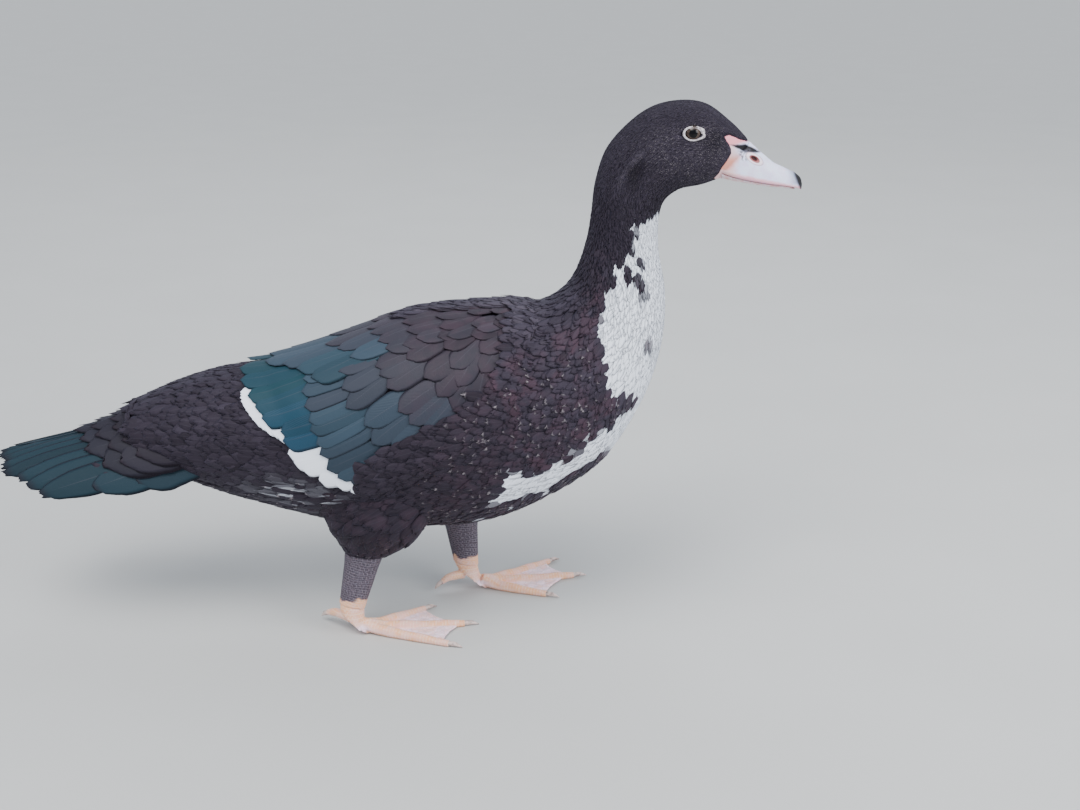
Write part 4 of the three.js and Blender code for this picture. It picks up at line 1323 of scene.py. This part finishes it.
def bill(name, stations, way, material, slot, node):
    """One half of the bill. The upper one has nostrils, a nail and a firm edge."""
    made = settled(mesh_piece(name, *tube(bill_half(stations, way), 90, 96), material))
    points = points_of(made)
    if way > 0:
        x, z = points[:, 0] - NOSTRIL[0], points[:, 2] - NOSTRIL[1]
        slope = 0.4  # the nostril's, in radians
        long = (x * math.cos(slope) - z * math.sin(slope)) / 4.6
        tall = (x * math.sin(slope) + z * math.cos(slope)) / 2.1
        ring = np.hypot(long, tall)
        side = np.abs(points[:, 1]) > 4
        hole = -2.6 * (1 - ramp(ring, 0.55, 1.0)) + 0.7 * np.exp(-(((ring - 1.35) / 0.28) ** 2))
        points[:, 1] += np.sign(points[:, 1]) * hole * side
        nail = np.exp(-((np.hypot((points[:, 0] - 318) / 5, points[:, 1] / 4.5)) ** 4))
        points[:, 2] += 0.6 * nail * (points[:, 2] > 410)
        edge = ramp(points[:, 2] + MOUTH_SLOPE * points[:, 0] - MOUTH_HEIGHT, 3.2, 1.2)
        points[:, 1] *= 1 + 0.025 * edge
    put_points(made, points)
    ready(made, slot, node)


def bill_paint():
    paint = Paint("bill_skin", Specular_IOR_Level=0.3, Subsurface_Weight=0.12, Subsurface_Scale=0.004)
    x, y, z = paint.axes()
    soft = paint.speckle(160.0)
    fine = paint.speckle(900.0, 2.0)
    normal = paint.bump(fine * 0.6 + soft, 0.25, 0.0005)
    return paint.finish(bill_colour(paint, x, y, z, soft), 0.4 + 0.16 * soft, normal)


def lower_bill_paint():
    paint = Paint("lower_bill_skin", Specular_IOR_Level=0.5, Subsurface_Weight=0.15, Subsurface_Scale=0.004)
    x = paint.axes()[0]
    soft = paint.speckle(200.0)
    colour = paint.mix((0.72, 0.42, 0.42), (0.74, 0.62, 0.68), soft.step(0.35, 0.65))
    colour = paint.mix(colour, (0.2, 0.12, 0.14), x.step(309.0, 315.0) * 0.6)
    normal = paint.bump(soft, 0.25, 0.0005)
    return paint.finish(colour, 0.36 + 0.14 * soft, normal)


# Eyes and lids
def eye_paint():
    paint = Paint("eye_glass", Roughness=0.03, Coat_Weight=0.0, Specular_IOR_Level=0.22)
    x, _, z = paint.axes()
    dx, dz = x - EYE[0] + 0.2, z - EYE[1] - 0.1
    out = (dx * dx + dz * dz) ** 0.5
    streak = paint.speckle(700.0)
    iris = paint.mix((0.03, 0.02, 0.016), (0.09, 0.063, 0.05), streak.step(0.35, 0.65))
    colour = paint.mix(iris, (0.012, 0.01, 0.01), out.step(5.4, 6.4))
    colour = paint.mix((0.001, 0.001, 0.002), colour, out.step(3.3, 3.8))
    return paint.finish(colour)


def eye(side, name, material):
    """A glass ball, turned so that its poles are in front of the iris and behind it."""
    at = metres([EYE[0], side * EYE_OUT, EYE[1]])
    bpy.ops.mesh.primitive_uv_sphere_add(segments=64, ring_count=40, radius=EYE_RADIUS * MM, location=at)
    made = bpy.context.object
    made.name = made.data.name = f"eyeball_{name}"
    bpy.ops.object.mode_set(mode="EDIT")
    bpy.ops.mesh.select_all(action="SELECT")
    bpy.ops.transform.rotate(value=math.pi / 2, orient_axis="X", center_override=at)
    bpy.ops.object.mode_set(mode="OBJECT")
    bpy.ops.object.transform_apply(location=True, rotation=True, scale=True)
    bpy.ops.object.shade_smooth()
    made.data.materials.append(material)
    made.select_set(False)
    ready(made, "eye_glass", f"eye_{name}")


def skin_out(x, z):
    """How far the head's surface is from the middle plane beside the eye."""
    t, angle = np.meshgrid(np.linspace(0.74, 0.97, 60), np.linspace(0.3, 2.4, 60), indexing="ij")
    grid = body(t.ravel(), angle.ravel(), np.zeros(t.size))
    away = (grid[None, :, 0] - x[:, None]) ** 2 + (grid[None, :, 2] - z[:, None]) ** 2
    return grid[np.argmin(away, 1), 1]


def lids(side, name, material):
    """The pale ring of both lids, drawn out to a point at the front, with fine wrinkles."""
    around, over = 160, 18
    u, v = np.meshgrid(np.arange(around), np.arange(over), indexing="ij")
    turn, roll = u * 2 * np.pi / around, v * 2 * np.pi / over
    front = np.exp(-(((turn - 5.85) / 0.36) ** 2))  # the front corner lies a little low
    brim = np.exp(-(((turn - 0.45) / 0.55) ** 2))  # and the ring is broad above it
    middle = (LID_OPENING + LID_OUTSIDE) / 2
    reach = (LID_OUTSIDE - LID_OPENING) / 2
    crimp = 0.8 + 0.06 * np.sin(turn * 23) + 0.05 * np.sin(turn * 41 + 1) + 0.7 * brim + 0.25 * front
    x = EYE[0] + np.cos(turn) * (middle[0] + 1.7 * front + 0.5 * brim + np.cos(roll) * reach[0] * crimp)
    z = EYE[1] + np.sin(turn) * (middle[1] + 0.6 * front + np.cos(roll) * reach[1] * crimp) - 0.15
    line_x = EYE[0] + np.cos(turn[:, 0]) * middle[0]
    skin_y = skin_out(line_x, EYE[1] + np.sin(turn[:, 0]) * middle[1])
    ball = np.sqrt(np.maximum(EYE_RADIUS**2 - (x - EYE[0]) ** 2 - (z - EYE[1]) ** 2, 0)) + EYE_OUT
    inner = ramp(np.cos(roll), 0.2, -1)
    y = skin_y[:, None] - 0.15 + 1.0 * np.sin(roll)
    y = y * (1 - inner) + np.maximum(y, ball + 0.25 * np.sin(roll)) * inner
    points = np.stack([x, side * y, z], -1).reshape(-1, 3)
    index = u * over + v
    right, up = np.roll(index, -1, 0), np.roll(index, -1, 1)
    both = np.roll(right, -1, 1)
    faces = np.stack([index, right, both, up], -1).reshape(-1, 4)
    made = settled(mesh_piece(f"lids_{name}", points, faces, material))
    ready(made, "head_plumage")


def lid_paint():
    paint = Paint("lid_skin", Specular_IOR_Level=0.4)
    soft = paint.speckle(500.0)
    fine = paint.cells(1500.0)
    colour = paint.mix((0.62, 0.58, 0.6), (0.36, 0.32, 0.34), soft.step(0.42, 0.66))
    normal = paint.bump(fine + soft, 0.5, 0.0004)
    return paint.finish(colour, 0.5 + 0.1 * soft, normal)


# Legs
def net(along, around, tall, wide):
    """Scales in staggered rows: 0 in the middle of a scale, 1 in the crease round it."""
    row = along / tall
    column = around / wide + 0.5 * (np.floor(row) % 2)
    up, over = np.abs(row % 1 - 0.5) * 2, np.abs(column % 1 - 0.5) * 2
    return np.maximum(ramp(up, 0.62, 1), ramp(over, 0.68, 1))


SHANK_LONG = 51  # millimetres


def shank_crease(s, angle):
    """The creases between the shank's scales, whose rows waver a little."""
    return net(SHANK_LONG * s + 0.7 * np.sin(angle * 3 + s * 9), angle * 10, 2.3, 2.6)


def shank(name, material):
    at = limb(SHANK[name])
    rows, around = 150, 120

    def place(s, angle, reach):
        swollen = 0.9 * ramp(s, 0.25, 0) + 0.5 * ramp(s, 0.8, 1)
        lift = swollen * 0.6 - 0.38 * shank_crease(s, angle) + 0.2
        return between(centre_of(at, s), at(s, angle, lift), reach)

    points, faces = tube(place, rows, around)
    crease = shank_crease(*tube_grid(rows, around))
    marks = {"crease": np.append(crease.ravel(), [0, 0])}
    made = settled(mesh_piece(f"shank_skin_{name}", points, faces, material, marks))
    ready(made, "shank_skin", f"shank_{name}")


def shank_paint():
    paint = Paint("shank_skin", Specular_IOR_Level=0.4, Subsurface_Weight=0.08, Subsurface_Scale=0.003)
    z = paint.axes()[2]
    crease = paint.mark("crease")
    soft = paint.speckle(120.0)
    fine = paint.speckle(700.0)
    drift = (soft - 0.5) * 16.0
    dark = paint.mix((0.05, 0.038, 0.055), (0.11, 0.09, 0.12), fine.step(0.4, 0.65))
    colour = paint.layers(
        paint.mix((0.86, 0.46, 0.27), (0.82, 0.47, 0.4), soft.step(0.4, 0.62)),
        ((0.84, 0.68, 0.6), crease.step(0.3, 0.9) * 0.6),
        (paint.mix(dark, (0.3, 0.26, 0.3), crease.step(0.45, 0.95) * 0.7), (z + drift).step(33.0, 37.0)),
    )
    return paint.finish(colour, 0.5 + 0.12 * fine, paint.bump(fine, 0.3, 0.0006))


FOOT_VOXEL = 0.0009  # metres
TOES = [(-28, 66), (2, 93), (27, 84)]  # each toe's turn outwards in degrees, and length
FEET = {  # where the toes part, their heading in degrees, the hind toe's end and the ankle's x
    "right": dict(side=RIGHT, toes=(-64, -45), heading=9, hallux=(-101, -28), ankle=-74.5),
    "left": dict(side=LEFT, toes=(42, 43), heading=11, hallux=(2, 33), ankle=25.5),
}


def toe_lines(foot):
    """Each front toe's start and direction on the floor, and its length."""
    found = []
    for turn, length in TOES:
        way = math.radians(foot["heading"] + foot["side"] * turn)
        way = np.array([math.cos(way), math.sin(way)])
        found.append((np.array(foot["toes"], float), way, length))
    return found


def foot(name, material):
    """The foot's own solid, made smooth, with scutes along the toes and folds in the web."""
    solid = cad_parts[f"foot_{name}"]
    made = bpy.data.objects.new(f"foot_skin_{name}", solid.data.copy())
    bpy.context.scene.collection.objects.link(made)
    made.data.materials.clear()
    made.data.materials.append(material)
    settled(made)
    apply_modifier(made, "REMESH", mode="VOXEL", voxel_size=FOOT_VOXEL)
    apply_modifier(made, "SMOOTH", iterations=6, factor=0.5)
    points = points_of(made)
    flat = np.full(len(points), 1e9)
    run = np.zeros(len(points))
    for start, way, length in toe_lines(FEET[name]):
        along = (points[:, :2] - start) @ way
        off = np.abs((points[:, :2] - start) @ np.array([-way[1], way[0]]))
        off = np.hypot(off, np.maximum(0, along - length)) + np.maximum(0, -along)
        run = np.where(off < flat, along, run)
        flat = np.minimum(flat, off)
    on_toe = ramp(flat, 6.0, 4.0) * (points[:, 2] < 14)
    scute = ramp(np.abs((run / 3.0) % 1 - 0.5) * 2, 0.7, 1.0)
    heel = ramp(points[:, 2], 9, 13)
    mesh_net = net(points[:, 2], points[:, 1] * 0.7 + points[:, 0] * 0.7, 2.2, 2.4)
    crease = np.clip(scute * on_toe + mesh_net * heel, 0, 1)
    folds = noise(points[:, 0] * 0.35, points[:, 1] * 0.5, seed=3) * (1 - on_toe) * (1 - heel)
    floor_share = ramp(points[:, 2], 0.6, 2.0)
    points[:, 2] += floor_share * (0.5 * folds - 0.35 * crease)
    points[:, 2] = np.maximum(points[:, 2], 0.02)
    put_points(made, points)
    put_marks(made.data, {"crease": crease, "web": 1 - on_toe, "heel": heel})
    made.data.shade_smooth()
    ready(made, "foot_skin", f"foot_{name}")


def foot_paint():
    paint = Paint("foot_skin", Specular_IOR_Level=0.28, Subsurface_Weight=0.12, Subsurface_Scale=0.003)
    crease, web, heel = (paint.mark(n) for n in ("crease", "web", "heel"))
    soft = paint.speckle(110.0)
    fine = paint.speckle(800.0)
    veins = paint.cells(170.0, "DISTANCE_TO_EDGE")
    lilac = paint.mix((0.94, 0.72, 0.8), (0.93, 0.6, 0.56), soft.step(0.42, 0.66))
    colour = paint.layers(
        paint.mix((0.86, 0.46, 0.27), (0.84, 0.5, 0.42), soft.step(0.4, 0.62)),
        ((0.93, 0.76, 0.66), crease * 0.6),
        (paint.mix(lilac, (0.5, 0.34, 0.4), veins.step(0.1, 0.0) * 0.35), web * (1 - heel)),
        ((0.42, 0.3, 0.26), fine.step(0.6, 0.75) * 0.3),
    )
    normal = paint.bump(fine + veins * 2.0, 0.3, 0.0006)
    return paint.finish(colour, 0.48 + 0.14 * fine, normal)


def claw_line(foot, number):
    """A claw's middle line from its toe's end, the fourth being the hind toe's."""
    if number < 3:
        start, way, length = toe_lines(foot)[number]
        line = ((-0.8, 2.9), (6, 3.2), (13, 1.1))
        return [np.append(start + way * (length + beyond), z) for beyond, z in line]
    hx, hy = foot["hallux"]
    ankle, toe_y = foot["ankle"], foot["toes"][1]
    back = np.array([hx - (ankle + hx) / 2 + 4, hy - (toe_y + hy) / 2 + foot["side"] * 2, -4])
    back /= np.linalg.norm(back)
    return [np.array([hx, hy, 11 - drop]) + back * d for d, drop in ((-0.8, 0), (4, 0.6), (8, 3))]


def claw(name, number, material):
    line = claw_line(FEET[name], number)
    sizes = [(2.3, 2.4), (1.9, 2.1), (0.35, 0.4)]

    def place(a, angle, reach):
        at, size = curve(line, a), curve(sizes, a)
        ahead = curve(line, a + 0.01) - curve(line, a - 0.01)
        ahead /= np.linalg.norm(ahead, axis=-1, keepdims=True)
        side = np.cross([0, 0, 1], ahead)
        side /= np.linalg.norm(side, axis=-1, keepdims=True)
        up = np.cross(ahead, side)
        out = side * (np.sin(angle) * size[..., 0])[..., None]
        out = out + up * (np.cos(angle) * size[..., 1])[..., None]
        return at + out * reach[..., None]

    made = settled(mesh_piece(f"nail_{name}_{number + 1}", *tube(place, 24, 24), material))
    ready(made, "claw_horn", f"claw_{name}_{number + 1}")


def claw_paint():
    paint = Paint("claw_horn", Specular_IOR_Level=0.5, Subsurface_Weight=0.1, Subsurface_Scale=0.002)
    soft = paint.speckle(250.0)
    fine = paint.speckle(1200.0)
    colour = paint.mix((0.62, 0.5, 0.46), (0.3, 0.22, 0.2), soft.step(0.42, 0.66))
    return paint.finish(colour, 0.35 + 0.15 * fine, paint.bump(fine, 0.3, 0.0004))


# Stage, with the camera that was solved from the photo
PHOTO_WIDTH = 1080
FOCAL_PIXELS = 1300
SENSOR_WIDTH = 36
CAMERA_PITCH = 20  # degrees down
CAMERA_PLACE = [98.7, -1109.4, 612]


def stage():
    """A plain pale floor, soft studio light and the camera."""
    bpy.ops.mesh.primitive_plane_add(size=60, location=(0, 20, 0))
    floor = bpy.context.object
    floor.name = floor.data.name = "floor"
    paint = Paint("pale_floor", Specular_IOR_Level=0.2)
    grain = paint.speckle(6.0)
    colour = paint.mix((0.5, 0.5, 0.49), (0.54, 0.54, 0.53), grain)
    floor.data.materials.append(paint.finish(colour, 0.7 + 0.1 * grain))
    floor.select_set(False)

    world = bpy.data.worlds.new("studio")
    bpy.context.scene.world = world
    world.use_nodes = True
    sky = world.node_tree.nodes["Background"]
    sky.inputs["Color"].default_value = (0.8, 0.88, 1.0, 1)
    sky.inputs["Strength"].default_value = 0.78

    turn = (math.radians(28), math.radians(-12), 0)
    bpy.ops.object.light_add(type="SUN", location=(0, -1, 3), rotation=turn)
    overhead = bpy.context.object
    overhead.name = "overhead_light"
    overhead.data.angle = math.radians(55)
    overhead.data.energy = 2.3
    overhead.select_set(False)

    for name, place, size, power, colour in (
        ("key_light", (-0.5, -1.2, 2.3), 1.2, 26, (1, 0.99, 0.97)),
        ("front_light", (1.8, -1.0, 1.1), 1.4, 36, (0.95, 0.97, 1)),
        ("rear_light", (0.3, 1.6, 2.2), 1.8, 15, (0.9, 0.95, 1)),
    ):
        bpy.ops.object.light_add(type="AREA", location=place)
        light = bpy.context.object
        light.name = name
        light.data.shape = "DISK"
        light.data.size = size
        light.data.energy = power
        light.data.color = colour
        towards = Vector((0, 0, 0.25)) - Vector(place)
        light.rotation_euler = towards.to_track_quat("-Z", "Y").to_euler()
        light.select_set(False)

    camera_data = bpy.data.cameras.new("camera")
    camera_data.sensor_width = SENSOR_WIDTH
    camera_data.lens = SENSOR_WIDTH * FOCAL_PIXELS / PHOTO_WIDTH
    camera = bpy.data.objects.new("camera", camera_data)
    bpy.context.scene.collection.objects.link(camera)
    camera.location = metres(CAMERA_PLACE)
    camera.rotation_euler = (math.radians(90 - CAMERA_PITCH), 0, 0)
    bpy.context.scene.camera = camera


stage()

coat_paint = plumage_paint("dark_plumage", BODY_TONES)
wing_paint = plumage_paint("wing_feathers", WING_TONES, rough=0.42, barbs=24.0, sheen=0.03, rim_share=0.2)
tail_paint = plumage_paint("tail_feathers", TAIL_TONES, rough=0.42, barbs=40.0, sheen=0.03, rim_share=0.6)
horn = claw_paint()
glass = eye_paint()
lid_colour = lid_paint()
foot_colour = foot_paint()
shank_colour = shank_paint()

skin_piece = skin()
mark_skin(skin_piece)
skin_piece.data.materials.append(down_paint())
skin_piece.data.shade_smooth()
ready(skin_piece, "dark_plumage", "torso", "neck", "head", "thigh_right", "thigh_left")

body_coat(coat_paint)
drape = Drape(skin_piece)


def soft_shade(origin, rng):
    return np.clip(rng.normal(0.72, 0.2, len(origin)), 0.2, 1)


def hock_flecks(origin, rng):
    """Pale tips on up to half of the feathers, more of them near the hock."""
    chosen = rng.random(len(origin)) < 0.5 * ramp(origin[:, 2], 120, 92)
    return chosen * rng.random(len(origin))


def straight_back(origin):
    return np.broadcast_to([-1.0, 0, 0.1], origin.shape).copy()


def thigh_way(origin):
    """Backwards high on the thigh and down its length nearer the hock."""
    low = ramp(origin[:, 2], 160, 90)[:, None]
    return np.array([-0.9, 0, -0.35]) * (1 - low) + np.array([-0.3, 0, -0.95]) * low


thigh_marks = {"shade": soft_shade, "warm": 0.35, "fleck": hock_flecks}
for name, corner in (("right", (0.02, 0.66)), ("left", (0.24, 0.66))):
    near = thigh_share(drape.points, THIGH[name]) < 1.12
    near &= (drape.points[:, 2] < 158) & (drape.points[:, 2] > THIGH[name][-1][2] + 3)
    near &= drape.points[:, 1] * FEET[name]["side"] > 12
    draped_coat(f"coat_thigh_{name}", drape, near, thigh_way, 12, 2.3, 2.6, 70, coat_paint,
                "thigh_plumage", corner, thigh_marks)
under_tail = (drape.points[:, 0] < -238) & (drape.points[:, 0] > -345)
under_tail &= drape.normals[:, 2] < 0.35
draped_coat("coat_under_tail", drape, under_tail, straight_back, 14, 2.4, 2.0, 74, coat_paint,
            "dark_plumage", (0.46, 0.66), {"shade": soft_shade})

wing(RIGHT, "right", wing_paint)
wing(LEFT, "left", wing_paint)
tail(tail_paint)

bill("bill_upper_skin", UPPER_BILL, 1, bill_paint(), "bill_skin", "bill_upper")
bill("bill_lower_skin", LOWER_BILL, -1, lower_bill_paint(), "lower_bill_skin", "bill_lower")
for side, name in ((RIGHT, "right"), (LEFT, "left")):
    eye(side, name, glass)
    lids(side, name, lid_colour)
    shank(name, shank_colour)
    foot(name, foot_colour)
    for number in range(4):
        claw(name, number, horn)
